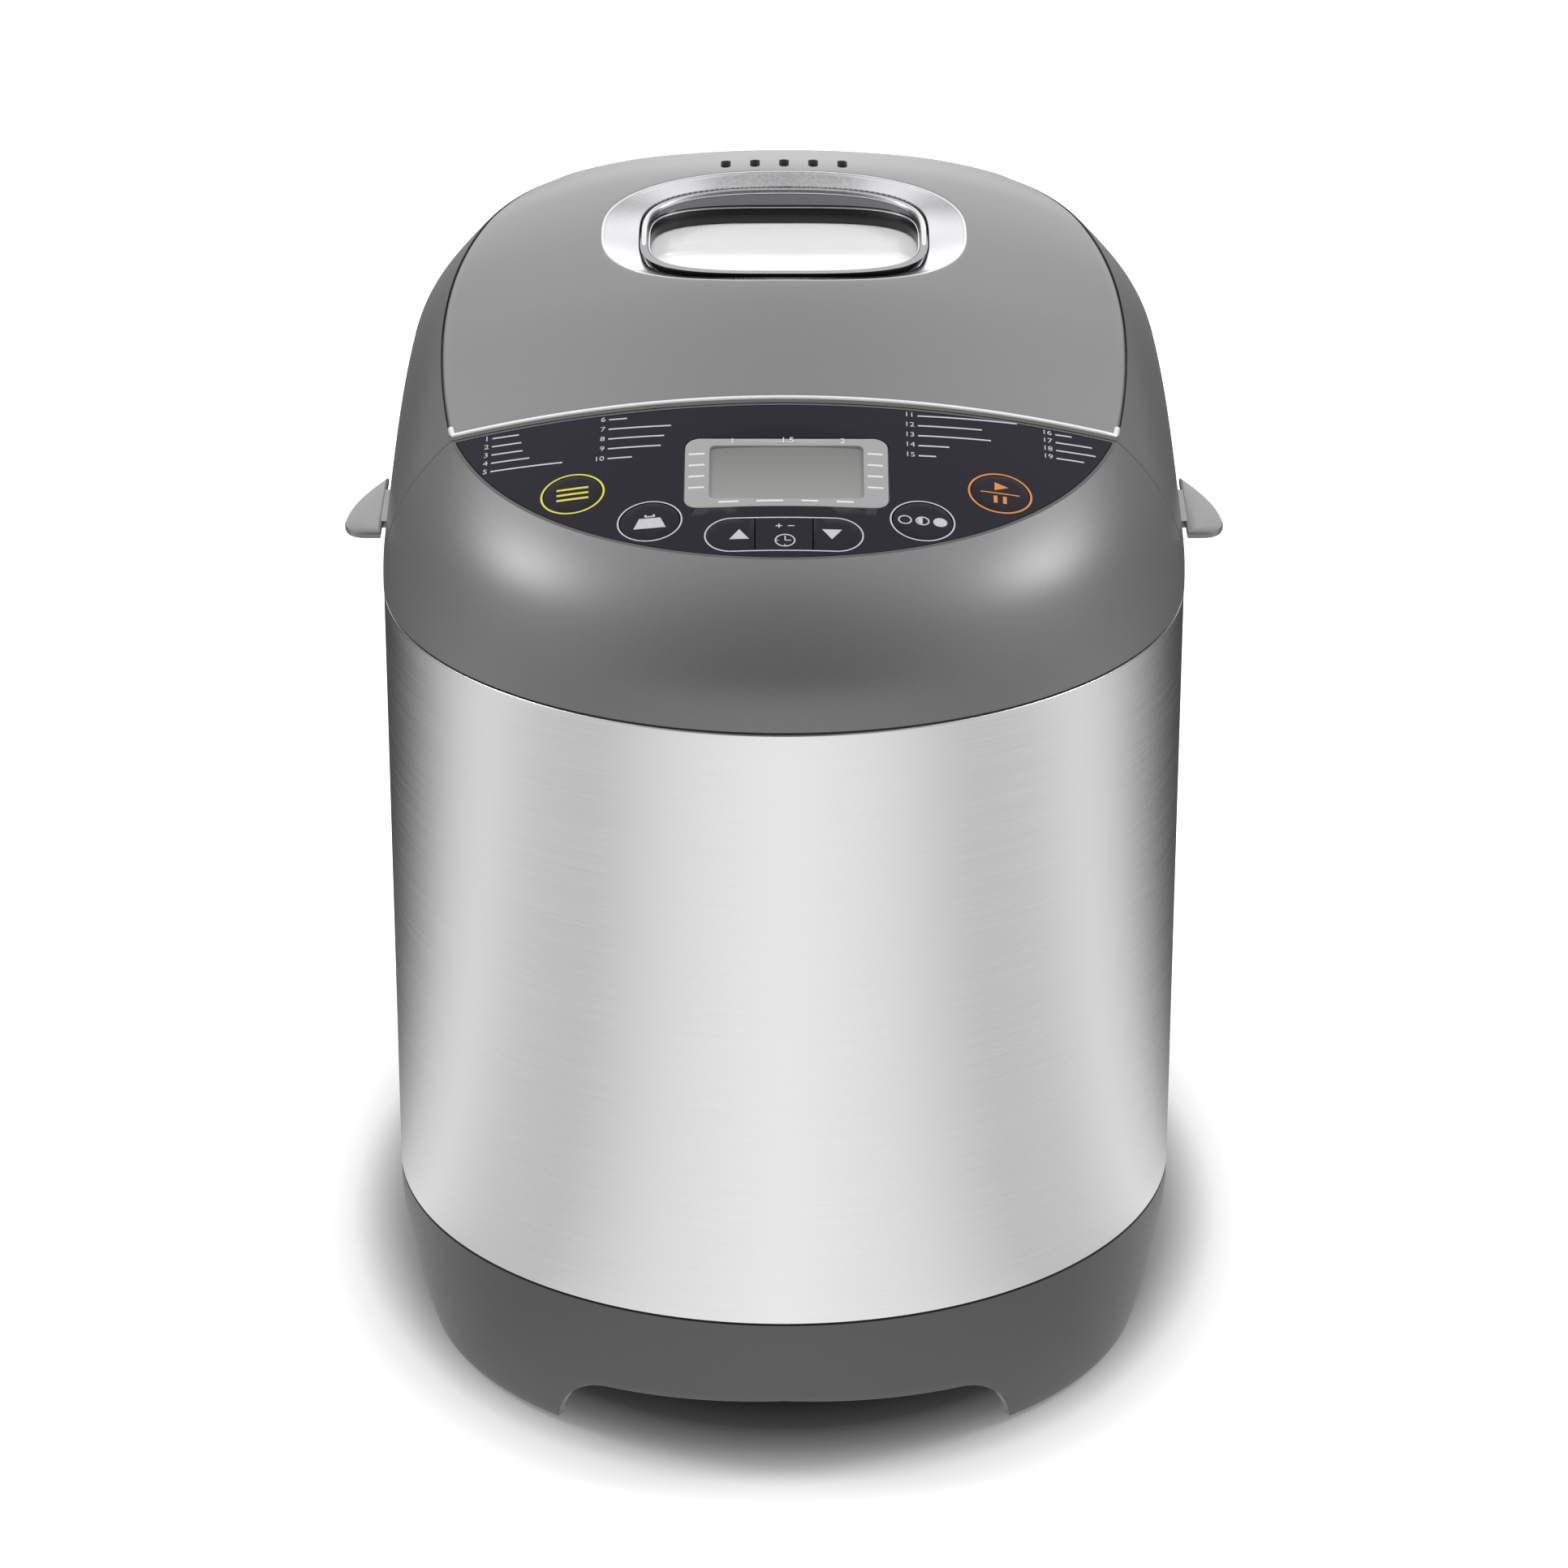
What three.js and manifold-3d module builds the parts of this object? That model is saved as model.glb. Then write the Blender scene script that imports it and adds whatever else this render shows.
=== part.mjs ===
// A bread machine as separate pieces. Millimetres, +Z up, the front faces -Y,
// and the origin lies on the table under the middle of the machine.
import * as THREE from "three";
import { mergeVertices } from "three/addons/utils/BufferGeometryUtils.js";
import Module from "manifold-3d";

const wasm = await Module();
wasm.setup();

// ---------- driving dimensions ----------
const fit = 0.3; // clearance between pieces that touch
const running = 0.4; // clearance between pieces that move past each other

// Outline of the body seen from above.
const halfWidth = 118;
const frontBow = 110; // how far the rounded front reaches out
const bowStart = -62; // where the rounded front begins
const frontY = bowStart - frontBow;
const rearY = 172;
const rearCorner = 70;

// Heights.
const footHeight = 2;
const baseTop = 51.8;
const steelHeight = 190.5;
const steelTop = baseTop + steelHeight;
const seam = 0.3; // half of the line between steel and plastic

// The step-shaped line where the lid closes.
const partingRise = 13.7;
const partingHeight = steelTop + partingRise;
const partingY = bowStart - 13.5; // the lid's front face
const partingRound = 10;

// Upper form: shoulders that lean in to a crowned top.
const lidRearY = rearY - 14;
const lidRearCorner = 80;
const shoulderFoot = steelTop + 0.7;
const shoulderPower = 2.5;
const crownRadius = 402; // across the machine
const panelInset = 24.5; // from the front to the crown's front edge
const panelFront = frontY + panelInset;
// The crown along the middle: distance from the front edge or the rear edge, and rise.
const crownLine = [
  [panelFront, partingHeight + 28.8],
  [panelFront + 76.5, partingHeight + 48],
  [panelFront + 137.5, partingHeight + 60.8],
  [lidRearY - 94, partingHeight + 69],
  [lidRearY - 58, partingHeight + 61.3],
  [lidRearY - 28, partingHeight + 46.4],
  [lidRearY, partingHeight],
];
const crownFrontSlope = 0.25;
const crownRearSlope = -2.6;

// Silver shell on the lid, and the round front edge of the panel that meets its corners.
const shellHalfWidth = halfWidth - 16.4;
const shellWidestY = partingY + 54.9;
const shellBow = 0.00224; // how fast the shell narrows, per millimetre
const shellFrontY = partingY + 3.5;
const shellRearY = lidRearY - 12;
const shellEdge = (y) => shellHalfWidth - shellBow * (y - shellWidestY) ** 2;
const panelDepth = partingY - panelFront;
const panelHalfWidth = shellEdge(partingY);
const panelRadius = (panelHalfWidth ** 2 + panelDepth ** 2) / (2 * panelDepth);
const panelCentreY = panelFront + panelRadius;
const panelSpan = THREE.MathUtils.radToDeg(Math.asin(panelHalfWidth / panelRadius));

// Walls.
const plasticWall = 3;
const steelWall = 0.8;
const shellWall = 2.5;
const sheetWall = 1.5;

// Oven, between the lid's front face and the rear.
const ovenFront = partingY + 18.5;
const ovenRear = rearY - 37;
const ovenY = (ovenFront + ovenRear) / 2;
const ovenHalfWidth = halfWidth - 26;
const ovenHalfDepth = (ovenRear - ovenFront) / 2;
const ovenCorner = 42;
const ovenFloor = baseTop + 26.2;
const ovenFlange = 7;
const elementRadius = 3.25;
const elementHeight = ovenFloor + 24;
const elementHalfWidth = ovenHalfWidth - 12;
const elementHalfDepth = ovenHalfDepth - 8.5;
const elementCorner = 31;
const elementLead = 14; // half the distance between its two ends
const elementBend = 6;
const sensorX = 40;
const sensorHeight = ovenFloor + 52;
const sensorRadius = 2.8;
const sensorLength = 18;

// Pan and bail.
const panHalfWidth = ovenHalfWidth - 26;
const panHalfDepth = ovenHalfDepth - 14;
const panCorner = 28;
const panBottom = ovenFloor + 19;
const panTop = partingHeight - 18;
const panWall = 2;
const panDraft = 2.5;
const panLip = 4;
const panSkirtRadius = 37;
const panSkirtWall = 2;
const panSeatWall = 4;
const panSeatHeight = 10;
const bailRadius = 2;
const bailHeight = panTop - 9;
const bailLength = panHalfDepth - 18;
const bailBend = 5;
const pivotHalfWidth = 8;

// Drive train.
const shaftRadius = 4;
const largePulleyRadius = 50;
const smallPulleyRadius = 10;
const pulleyBottom = 40;
const beltHeight = 8;
const beltThickness = 2;
const pulleyRim = 2;
const pulleyHub = 10;
const motorY = frontY + 58;
const motorRadius = 31;
const motorLength = 62;
const motorSeat = pulleyBottom + 20;
const motorShaftRadius = 3;
const motorBossRadius = 8;
const motorBracketHalfWidth = 40;
const motorBracketFoot = 10;
const standHalfDepth = 30;
const standFoot = 12;
const standInset = 6;
const bearingRadius = 11;
const bearingLength = 16;
const bearingFlange = 9;
const couplingRadius = 13;
const couplingPlate = 4;
const lugHeight = 6;
const lugHalfWidth = 3.5;
const panCouplingHeight = 5;
const bushingRadius = 9;
const bushingRise = 4;
const paddleReach = 46;
const paddleHeight = 22;
const paddleHubRadius = 9;
const paddleHalfThickness = 2.5;
const paddleGrip = 18; // how much of the shaft stands in the paddle
const capacitorX = -70;
const capacitorY = frontY + 82;
const capacitorRadius = 13;
const capacitorHeight = 44;
const powerBoardX = 54;
const powerBoardY = frontY + 64;
const powerBoardWidth = 34;
const powerBoardDepth = 44;
const powerBoardRise = 5;
const transformerHeight = 18;
const chassisScrewX = 80;
const chassisScrewY = -36;
const chassisFront = frontY + 28;
const chassisRear = rearY - 32;
const chassisHoleHalfWidth = 30;
const chassisHoleHalfDepth = 26;

// Lid.
const ledgeWidth = 8;
const ledgeThickness = 2;
const linerTop = partingHeight + 42;
const linerDomeY = ovenY - 9;
const linerDomeHalfWidth = ovenHalfWidth - 10;
const linerDomeHalfDepth = ovenHalfDepth - 32;
const linerDomeCorner = 30;
const lidScrewX = halfWidth - 13.5;
const lidScrewY = ovenY - 19;
const lidFlangeThickness = 2.3;
const sealHeight = 2;
const windowY = ovenY - 11.8;
const windowHalfWidth = 43.6;
const windowHalfDepth = 30.8;
const windowPower = 3.4; // 2 is an ellipse, more is squarer
const glassThickness = 2.5;
const glassMargin = 1.5; // how far the glass reaches under the bezel
const dishY = windowY - 1;
const dishHalfWidth = windowHalfWidth + 11.4;
const dishHalfDepth = windowHalfDepth + 6.9;
const dishPower = 2.6;
const dishDepth = 3;
const bezelWall = 2.2;
const bezelFrontHeight = 4.9; // from the glass to the bezel's top at its front
const bezelFlange = 4.5;
const ventCount = 5;
const ventPitch = 9;
const ventHalfWidth = 1.5;
const ventHalfLength = 4.5;
const ventY = dishY + dishHalfDepth + ventHalfLength + 4.3;
const gripProjection = 11.3;
const gripReach = halfWidth + gripProjection;
const gripFront = partingY + 9.1;
const gripRear = gripFront + 41.9;
const gripTongueFront = gripFront + 8.4;
const gripTongueRear = gripTongueFront + 24;
const gripTongue = 6; // how far it reaches into the lid
const gripThickness = 2.2;
const hingeY = rearY - 9;
const hingeHeight = partingHeight + 5;
const hingeX = 46;
const knuckleRadius = 4.2;
const knuckleLength = 12;
const knuckleArm = 3.6; // how far the arm reaches below the pin
const earLength = 5;
const hingePinRadius = 1.8;

// Control panel, set out by shares of its depth and of half its width.
const overlayThickness = 0.8;
const overlayRim = 1.3;
const buttonTravel = 0.6;
const buttonRadius = 8.8;
const buttonPlaces = {
  menu_button: [-0.6338 * panelHalfWidth, panelFront + 0.497 * panelDepth],
  weight_button: [-0.3997 * panelHalfWidth, panelFront + 0.267 * panelDepth],
  color_button: [0.4123 * panelHalfWidth, panelFront + 0.275 * panelDepth],
  start_button: [0.6475 * panelHalfWidth, panelFront + 0.507 * panelDepth],
};
const timerY = panelFront + 0.156 * panelDepth;
const timerHalfLength = 22.2;
const timerHalfWidth = 7.6;
const timerInner = 8;
const lcdHalfWidth = 28;
const lcdFront = panelFront + 0.34 * panelDepth;
const lcdRear = panelFront + 0.75 * panelDepth;
const lcdCorner = 4;
const lcdWindowHalfWidth = 22;
const lcdWindowHalfDepth = 11;
const boardDepth = 16;
const boardY = panelFront + panelDepth * 0.49;
const boardHalfWidth = 0.7 * panelHalfWidth;
const boardHalfDepth = panelDepth / 3;
const bossX = boardHalfWidth - 4;
const bossY = boardY + boardHalfDepth - 7.5;
const bossRadius = 3.5;
const boardThickness = 1.6;
const switchHeight = 2.5;
const switchRadius = 3;
const stemRadius = 2;
const capFlangeWidth = 0.9;
const capFlangeThickness = 1.6;

// Base and feet.
const baseFloor = 25;
const baseFloorThickness = 3;
const baseTaper = 9.5; // how far the skirt draws in at the bottom
const baseTaperPower = 1.8;
const archHalfWidth = 68;
const archHeight = 24;
const archShoulder = archHalfWidth - 16;
const archShoulderHeight = archHeight - 2.5;
const archSpan = 110; // the middle between the front and rear arches stays closed
const footRadius = 9;
const footStemRadius = 3;
const footStemTop = 14;
const footPlaces = [
  [-72, frontY + 56],
  [72, frontY + 56],
  [-80, rearY - 44],
  [80, rearY - 44],
];
const airHolePlaces = [-24, 0, 24];
const airHoleHalfWidth = 4;
const airHoleHalfLength = 20;

// Seams, rear cover and screws.
const lipHeight = 6; // tongue of plastic inside the steel wrap
const rearPanelHalfWidth = 45;
const rearCoverWall = 2.5;
const rearSlotCount = 7;
const rearSlotStart = baseTop + 68.2;
const rearSlotPitch = 11;
const rearSlotWidth = 4;
const rearSlotHalfLength = rearPanelHalfWidth - 15;
const rearScrewX = rearPanelHalfWidth - 9;
const rearScrewHeight = baseTop + 6.7;
const rearScrewBlock = 5;
const screwRadius = 1.5;
const screwHeadRadius = 3;
const screwHeadHeight = 1;
const screwReach = 10;
const inletHeight = baseTop + 20.2;
const inletRadius = 8;
const inletFlange = 3;
const inletLength = 7;
const cordRadius = 3.5;

// ---------- shape helpers ----------
const turnAlongX = new THREE.Matrix4().set(0, 0, 1, 0, 1, 0, 0, 0, 0, 1, 0, 0, 0, 0, 0, 1);

function solid(geometry) {
  const bare = geometry.index ? geometry.toNonIndexed() : geometry.clone();
  for (const name of Object.keys(bare.attributes)) if (name !== "position") bare.deleteAttribute(name);
  const merged = mergeVertices(bare, 1e-4);
  return new wasm.Manifold(
    new wasm.Mesh({
      numProp: 3,
      vertProperties: new Float32Array(merged.attributes.position.array),
      triVerts: new Uint32Array(merged.index.array),
    }),
  );
}

function geometryOf(body) {
  const data = body.getMesh();
  const geometry = new THREE.BufferGeometry();
  const points = new Float32Array((data.vertProperties.length / data.numProp) * 3);
  for (let i = 0, k = 0; i < data.vertProperties.length; i += data.numProp, k += 3) {
    points.set(data.vertProperties.slice(i, i + 3), k);
  }
  geometry.setAttribute("position", new THREE.BufferAttribute(points, 3));
  geometry.setIndex(new THREE.BufferAttribute(new Uint32Array(data.triVerts), 1));
  geometry.computeVertexNormals();
  return geometry;
}

function join(first, ...others) {
  return others.reduce((sum, next) => sum.add(next), first);
}

function cut(first, ...others) {
  return others.reduce((rest, next) => rest.subtract(next), first);
}

function box(x0, x1, y0, y1, z0, z1) {
  const geometry = new THREE.BoxGeometry(x1 - x0, y1 - y0, z1 - z0);
  geometry.translate((x0 + x1) / 2, (y0 + y1) / 2, (z0 + z1) / 2);
  return solid(geometry);
}

// An upright cylinder.
function post(x, y, z0, z1, radius, sides = 16, topRadius = radius) {
  const geometry = new THREE.CylinderGeometry(topRadius, radius, z1 - z0, sides);
  geometry.rotateX(Math.PI / 2).translate(x, y, (z0 + z1) / 2);
  return solid(geometry);
}

// A cylinder lying along X.
function rod(x0, x1, y, z, radius, sides = 16) {
  const geometry = new THREE.CylinderGeometry(radius, radius, x1 - x0, sides);
  geometry.rotateZ(-Math.PI / 2).translate((x0 + x1) / 2, y, z);
  return solid(geometry);
}

// A cylinder lying along Y.
function bar(x, y0, y1, z, radius, sides = 16) {
  const geometry = new THREE.CylinderGeometry(radius, radius, y1 - y0, sides);
  geometry.translate(x, (y0 + y1) / 2, z);
  return solid(geometry);
}

// A turned piece about the upright line through x, y, from [radius, height] points.
function turned(x, y, profile, sides = 18) {
  const points = profile.map(([radius, height]) => new THREE.Vector2(radius, height));
  const geometry = new THREE.LatheGeometry(points, sides);
  geometry.rotateX(Math.PI / 2).translate(x, y, 0);
  return solid(geometry);
}

function tube(x, y, z0, z1, outer, inner, sides = 20) {
  const profile = [[inner, z0], [outer, z0], [outer, z1], [inner, z1], [inner, z0]];
  return turned(x, y, profile, sides);
}

function prism(points, z0, z1) {
  const shape = new THREE.Shape(points.map(([x, y]) => new THREE.Vector2(x, y)));
  const geometry = new THREE.ExtrudeGeometry(shape, { depth: z1 - z0, bevelEnabled: false });
  return solid(geometry.translate(0, 0, z0));
}

// A prism along X from [y, z] points.
function prismX(points, x0, x1) {
  const shape = new THREE.Shape(points.map(([y, z]) => new THREE.Vector2(y, z)));
  const geometry = new THREE.ExtrudeGeometry(shape, { depth: x1 - x0, bevelEnabled: false });
  return solid(geometry.applyMatrix4(turnAlongX).translate(x0, 0, 0));
}

// A prism along Y from [x, z] points.
function prismY(points, y0, y1) {
  const shape = new THREE.Shape(points.map(([x, z]) => new THREE.Vector2(x, z)));
  const geometry = new THREE.ExtrudeGeometry(shape, { depth: y1 - y0, bevelEnabled: false });
  return solid(geometry.rotateX(Math.PI / 2).translate(0, y1, 0));
}

function arc(cx, cy, radius, from, to, steps) {
  return Array.from({ length: steps + 1 }, (_, i) => {
    const angle = THREE.MathUtils.degToRad(from + ((to - from) * i) / steps);
    return [cx + radius * Math.cos(angle), cy + radius * Math.sin(angle)];
  });
}

// Rounded rectangle, anticlockwise.
function roundedRect(cx, cy, hx, hy, radius, steps = 4) {
  const r = Math.min(radius, hx, hy);
  return [
    ...arc(cx + hx - r, cy - hy + r, r, -90, 0, steps),
    ...arc(cx + hx - r, cy + hy - r, r, 0, 90, steps),
    ...arc(cx - hx + r, cy + hy - r, r, 90, 180, steps),
    ...arc(cx - hx + r, cy - hy + r, r, 180, 270, steps),
  ].filter(([x, y], i, all) => {
    const [px, py] = all[(i + all.length - 1) % all.length];
    return Math.hypot(x - px, y - py) > 1e-6;
  });
}

// Rounded oval about a point of the middle line, anticlockwise.
function oval(cy, hx, hy, power, steps = 24) {
  const round = (value) => Math.sign(value) * Math.abs(value) ** (2 / power);
  return arc(0, 0, 1, 0, 360 - 360 / steps, steps - 1).map(([c, s]) => [hx * round(c), cy + hy * round(s)]);
}

// The loop moved inwards by a distance (the loop runs anticlockwise).
function inset(loop, distance) {
  const count = loop.length;
  const normal = (a, b) => {
    const length = Math.hypot(b[0] - a[0], b[1] - a[1]) || 1;
    return [-(b[1] - a[1]) / length, (b[0] - a[0]) / length];
  };
  return loop.map((p, i) => {
    const n0 = normal(loop[(i + count - 1) % count], p);
    const n1 = normal(p, loop[(i + 1) % count]);
    const scale = distance / (1 + n0[0] * n1[0] + n0[1] * n1[1]);
    return [p[0] + (n0[0] + n1[0]) * scale, p[1] + (n0[1] + n1[1]) * scale];
  });
}

// Triangles between rings of equal length, the rings listed upwards.
function wallFaces(ringCount, count) {
  const faces = [];
  for (let j = 0; j + 1 < ringCount; j++) {
    for (let i = 0; i < count; i++) {
      const [a, b] = [j * count + i, j * count + ((i + 1) % count)];
      faces.push([a, b, b + count], [a, b + count, a + count]);
    }
  }
  return faces;
}

// Triangles across a flat loop, facing up.
function capFaces(ring) {
  return THREE.ShapeUtils.triangulateShape(ring.map(([x, y]) => new THREE.Vector2(x, y)), []);
}

// Closed body between rings of equal length, each ring a list of [x, y, z].
function loft(rings) {
  const faces = wallFaces(rings.length, rings[0].length);
  const top = (rings.length - 1) * rings[0].length;
  for (const [a, b, c] of capFaces(rings[0])) faces.push([c, b, a]);
  for (const [a, b, c] of capFaces(rings.at(-1))) faces.push([top + a, top + b, top + c]);
  return solid(meshOf(rings.flat(), faces));
}

// Round wire along a path that lies in one plane; up is the direction square to that plane.
function wire(path, radius, up, sides = 8) {
  const points = [];
  const faces = [];
  path.forEach((point, j) => {
    const before = point.clone().sub(path[Math.max(j - 1, 0)]).normalize();
    const after = path[Math.min(j + 1, path.length - 1)].clone().sub(point).normalize();
    const along = before.clone().add(after).normalize();
    const stretch = 1 / along.dot(j > 0 ? before : after);
    const side = along.clone().cross(up);
    for (let i = 0; i < sides; i++) {
      const angle = (2 * Math.PI * i) / sides;
      const across = side.clone().multiplyScalar(radius * Math.cos(angle) * stretch);
      const raised = point.clone().add(across).addScaledVector(up, -radius * Math.sin(angle));
      points.push(raised.toArray());
    }
  });
  const last = (path.length - 1) * sides;
  for (let j = 0; j < last; j += sides) {
    for (let i = 0; i < sides; i++) {
      const k = (i + 1) % sides;
      faces.push([j + i, j + k, j + sides + k], [j + i, j + sides + k, j + sides + i]);
    }
  }
  for (let i = 1; i + 1 < sides; i++) faces.push([0, i + 1, i], [last, last + i, last + i + 1]);
  return solid(meshOf(points, faces));
}

function meshOf(points, faces) {
  const geometry = new THREE.BufferGeometry();
  geometry.setAttribute("position", new THREE.Float32BufferAttribute(points.flat(), 3));
  geometry.setIndex(faces.flat());
  return geometry;
}

const level = (loop, z) => loop.map(([x, y]) => [x, y, z]);

// Two numbers on one side of the middle, in rising order.
const span = (sign, near, far) => [sign * near, sign * far].sort((a, b) => a - b);

// ---------- the outer form ----------
const frontSteps = 10;
const sideSteps = 5;
const cornerSteps = 5;
const acrossSteps = 6;
const shoulderLevels = [0, 0.35, 0.6, 0.82, 1];
const hollowLevels = [0, 0.6, 1];

// Height of the crown along the middle: a smooth curve through the points of crownLine.
function crownHeight(y) {
  const last = crownLine.length - 1;
  const at = Math.min(Math.max(y, crownLine[0][0]), crownLine[last][0]);
  const k = Math.min(crownLine.findLastIndex(([start]) => start <= at), last - 1);
  const slope = (i) => {
    if (i === 0) return crownFrontSlope;
    if (i === last) return crownRearSlope;
    return (crownLine[i + 1][1] - crownLine[i - 1][1]) / (crownLine[i + 1][0] - crownLine[i - 1][0]);
  };
  const [[y0, z0], [y1, z1]] = [crownLine[k], crownLine[k + 1]];
  const length = y1 - y0;
  const t = (at - y0) / length;
  return (
    z0 * (1 + 2 * t) * (1 - t) ** 2 +
    slope(k) * length * t * (1 - t) ** 2 +
    z1 * t * t * (3 - 2 * t) +
    slope(k + 1) * length * t * t * (t - 1)
  );
}

// How far the crown has fallen at a distance from the middle line.
const sag = (x) => x ** 2 / (2 * crownRadius);

// Height of the top surface. Towards the rear corners it falls as it does at the rear edge.
function crown(x, y) {
  const past = Math.max(0, Math.abs(x) - (halfWidth - lidRearCorner));
  const sweep = lidRearCorner - Math.sqrt(Math.max(0, lidRearCorner ** 2 - past ** 2));
  return crownHeight(y + sweep) - sag(x);
}

// The same surface carried on level behind the crown, for pieces that end below it.
const crownLevelY = crownLine[3][0];
const levelCrown = (x, y) => crownHeight(Math.min(y, crownLevelY)) - sag(x);

function crownNormal(x, y) {
  const step = 0.5;
  const slopeX = (crown(x + step, y) - crown(x - step, y)) / (2 * step);
  const slopeY = (crown(x, y + step) - crown(x, y - step)) / (2 * step);
  return new THREE.Vector3(-slopeX, -slopeY, 1).normalize();
}

// Right half of the plan, front to rear: the body's outline and the crown's edge.
function planRows(rear, corner) {
  const frontAngle = Math.acos((bowStart - partingY) / frontBow);
  const rows = [];
  for (let i = 0; i <= frontSteps; i++) {
    const a = (frontAngle * i) / frontSteps;
    const b = THREE.MathUtils.degToRad((panelSpan * i) / frontSteps);
    rows.push({
      outer: [halfWidth * Math.sin(a), bowStart - frontBow * Math.cos(a)],
      inner: [panelRadius * Math.sin(b), panelCentreY - panelRadius * Math.cos(b)],
    });
  }
  const cornerY = rear - corner;
  for (let i = 1; i <= sideSteps; i++) {
    const y = partingY + ((cornerY - partingY) * i) / sideSteps;
    const reach = y < bowStart ? Math.sqrt(1 - ((y - bowStart) / frontBow) ** 2) : 1;
    rows.push({ outer: [halfWidth * reach, y], inner: [shellEdge(y), y] });
  }
  for (const [x, y] of arc(halfWidth - corner, cornerY, corner, 0, 90, cornerSteps).slice(1)) {
    rows.push({ outer: [x, y], inner: [shellEdge(y), y] });
  }
  return rows;
}

// A whole loop from the right half, anticlockwise from the middle of the front.
function wholeLoop(rows, key) {
  const right = rows.map((row) => row[key]);
  const [rearX, y] = right.at(-1);
  const rearPoints = [];
  for (let k = 1; k < acrossSteps; k++) rearPoints.push([rearX * (1 - (2 * k) / acrossSteps), y]);
  const left = right.slice(1).reverse();
  return [...right, ...rearPoints, ...left.map(([x, atY]) => [-x, atY])];
}

const lidPlan = [lidRearY, lidRearCorner];
const bodyPlan = [rearY, rearCorner];
const bodyLoop = (distance = 0) => inset(wholeLoop(planRows(...bodyPlan), "outer"), distance);
const lidLoop = (distance = 0) => inset(wholeLoop(planRows(...lidPlan), "outer"), distance);

// Solid under the top surface, down to a level. It can be lowered, or thinned all round.
const innerShare = 0.3; // how much of the wall the crown's edge moves in
const formBottom = shoulderFoot - 43;
function form({ drop = 0, wall = 0, bottom = formBottom, top = crown, plan = lidPlan }) {
  const rows = planRows(...plan);
  const outer = inset(wholeLoop(rows, "outer"), wall);
  const inner = inset(wholeLoop(rows, "inner"), wall * innerShare);
  const height = (x, y) => top(x, y) - drop - wall;
  const rings = [level(outer, bottom)];
  for (const h of wall > 0 ? hollowLevels : shoulderLevels) {
    const lean = h ** shoulderPower;
    rings.push(
      outer.map(([x, y], i) => {
        const [ix, iy] = inner[i];
        return [x + (ix - x) * lean, y + (iy - y) * lean, shoulderFoot + (height(ix, iy) - shoulderFoot) * h];
      }),
    );
  }
  const count = outer.length;
  const points = rings.flat();
  const faces = wallFaces(rings.length, count);
  for (const [a, b, c] of capFaces(outer)) faces.push([c, b, a]);

  const topStart = (rings.length - 1) * count;
  const lastRow = rows.length - 1;
  const rowIndices = (j) => {
    const right = topStart + j;
    const left = topStart + count - j;
    const between = [];
    for (let k = 1; k < acrossSteps; k++) {
      if (j === lastRow) {
        between.push(left - k);
        continue;
      }
      const [x, y] = inner[j];
      const across = x * ((2 * k) / acrossSteps - 1);
      between.push(points.push([across, y, height(across, y)]) - 1);
    }
    return [left, ...between, right];
  };
  let front = rowIndices(1);
  for (let k = 0; k < acrossSteps; k++) faces.push([topStart, front[k + 1], front[k]]);
  for (let j = 2; j <= lastRow; j++) {
    const back = rowIndices(j);
    for (let k = 0; k < acrossSteps; k++) {
      faces.push([front[k], front[k + 1], back[k + 1]], [front[k], back[k + 1], back[k]]);
    }
    front = back;
  }
  return solid(meshOf(points, faces));
}

// Sheet that follows the crown inside a loop, between two depths below it.
const farAbove = 400;
const farBelow = -20;
const farAside = 300;
function crownSheet(loop, from, to) {
  return cut(prism(loop, shoulderFoot, farAbove).intersect(form({ drop: from })), form({ drop: to }));
}

// Everything below, or above, the line where the lid closes.
function partingSide(y, z, below) {
  const corner = arc(y + partingRound, z + partingRound, partingRound, 180, 270, 5);
  const line = [[y, farAbove], ...corner, [farAside, z]];
  if (!below) return prismX([...line, [farAside, farAbove]], -farAside, farAside);
  const rest = [[farAside, farBelow], [-farAside, farBelow], [-farAside, farAbove]];
  return prismX([...line, ...rest].reverse(), -farAside, farAside);
}

// A solid moved to a point of the crown, with its own +Z along the surface's normal there.
function onCrown(body, x, y) {
  const turn = new THREE.Quaternion().setFromUnitVectors(new THREE.Vector3(0, 0, 1), crownNormal(x, y));
  const place = new THREE.Matrix4().makeRotationFromQuaternion(turn);
  place.setPosition(x, y, crown(x, y));
  return body.transform(place.elements);
}

// ---------- finishes ----------
const greyPlastic = { color: 0x7d7d7d, roughness: 0.45, metalness: 0.25 };
const silverPlastic = { color: 0x9c9c9c, roughness: 0.38, metalness: 0.35 };
const darkPlastic = { color: 0x5c5c5c, roughness: 0.5, metalness: 0.1 };
const brushedSteel = { color: 0xc8c8c8, roughness: 0.3, metalness: 1 };
const sheetSteel = { color: 0xb0b2b4, roughness: 0.4, metalness: 0.9 };
const turnedSteel = { color: 0xd0d2d4, roughness: 0.25, metalness: 1 };
const castAluminium = { color: 0xa8aaac, roughness: 0.5, metalness: 0.8 };
const nonStick = { color: 0x2c2c2e, roughness: 0.55, metalness: 0.2 };
const blackPlastic = { color: 0x1c1c1e, roughness: 0.5, metalness: 0 };
const panelFilm = { color: 0x2d2d37, roughness: 0.3, metalness: 0 };
const bezelGrey = { color: 0xa8a8a8, roughness: 0.4, metalness: 0 };
const lcdGreen = { color: 0x969696, roughness: 0.15, metalness: 0 };
const clearGlass = { color: 0xeef2f4, roughness: 0.05, metalness: 0 };
const blackRubber = { color: 0x202020, roughness: 0.85, metalness: 0 };
const siliconeGrey = { color: 0x8c8c88, roughness: 0.8, metalness: 0 };
const elementSteel = { color: 0x4a4644, roughness: 0.6, metalness: 0.7 };
const circuitBoard = { color: 0x1f5a3a, roughness: 0.5, metalness: 0 };

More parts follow.
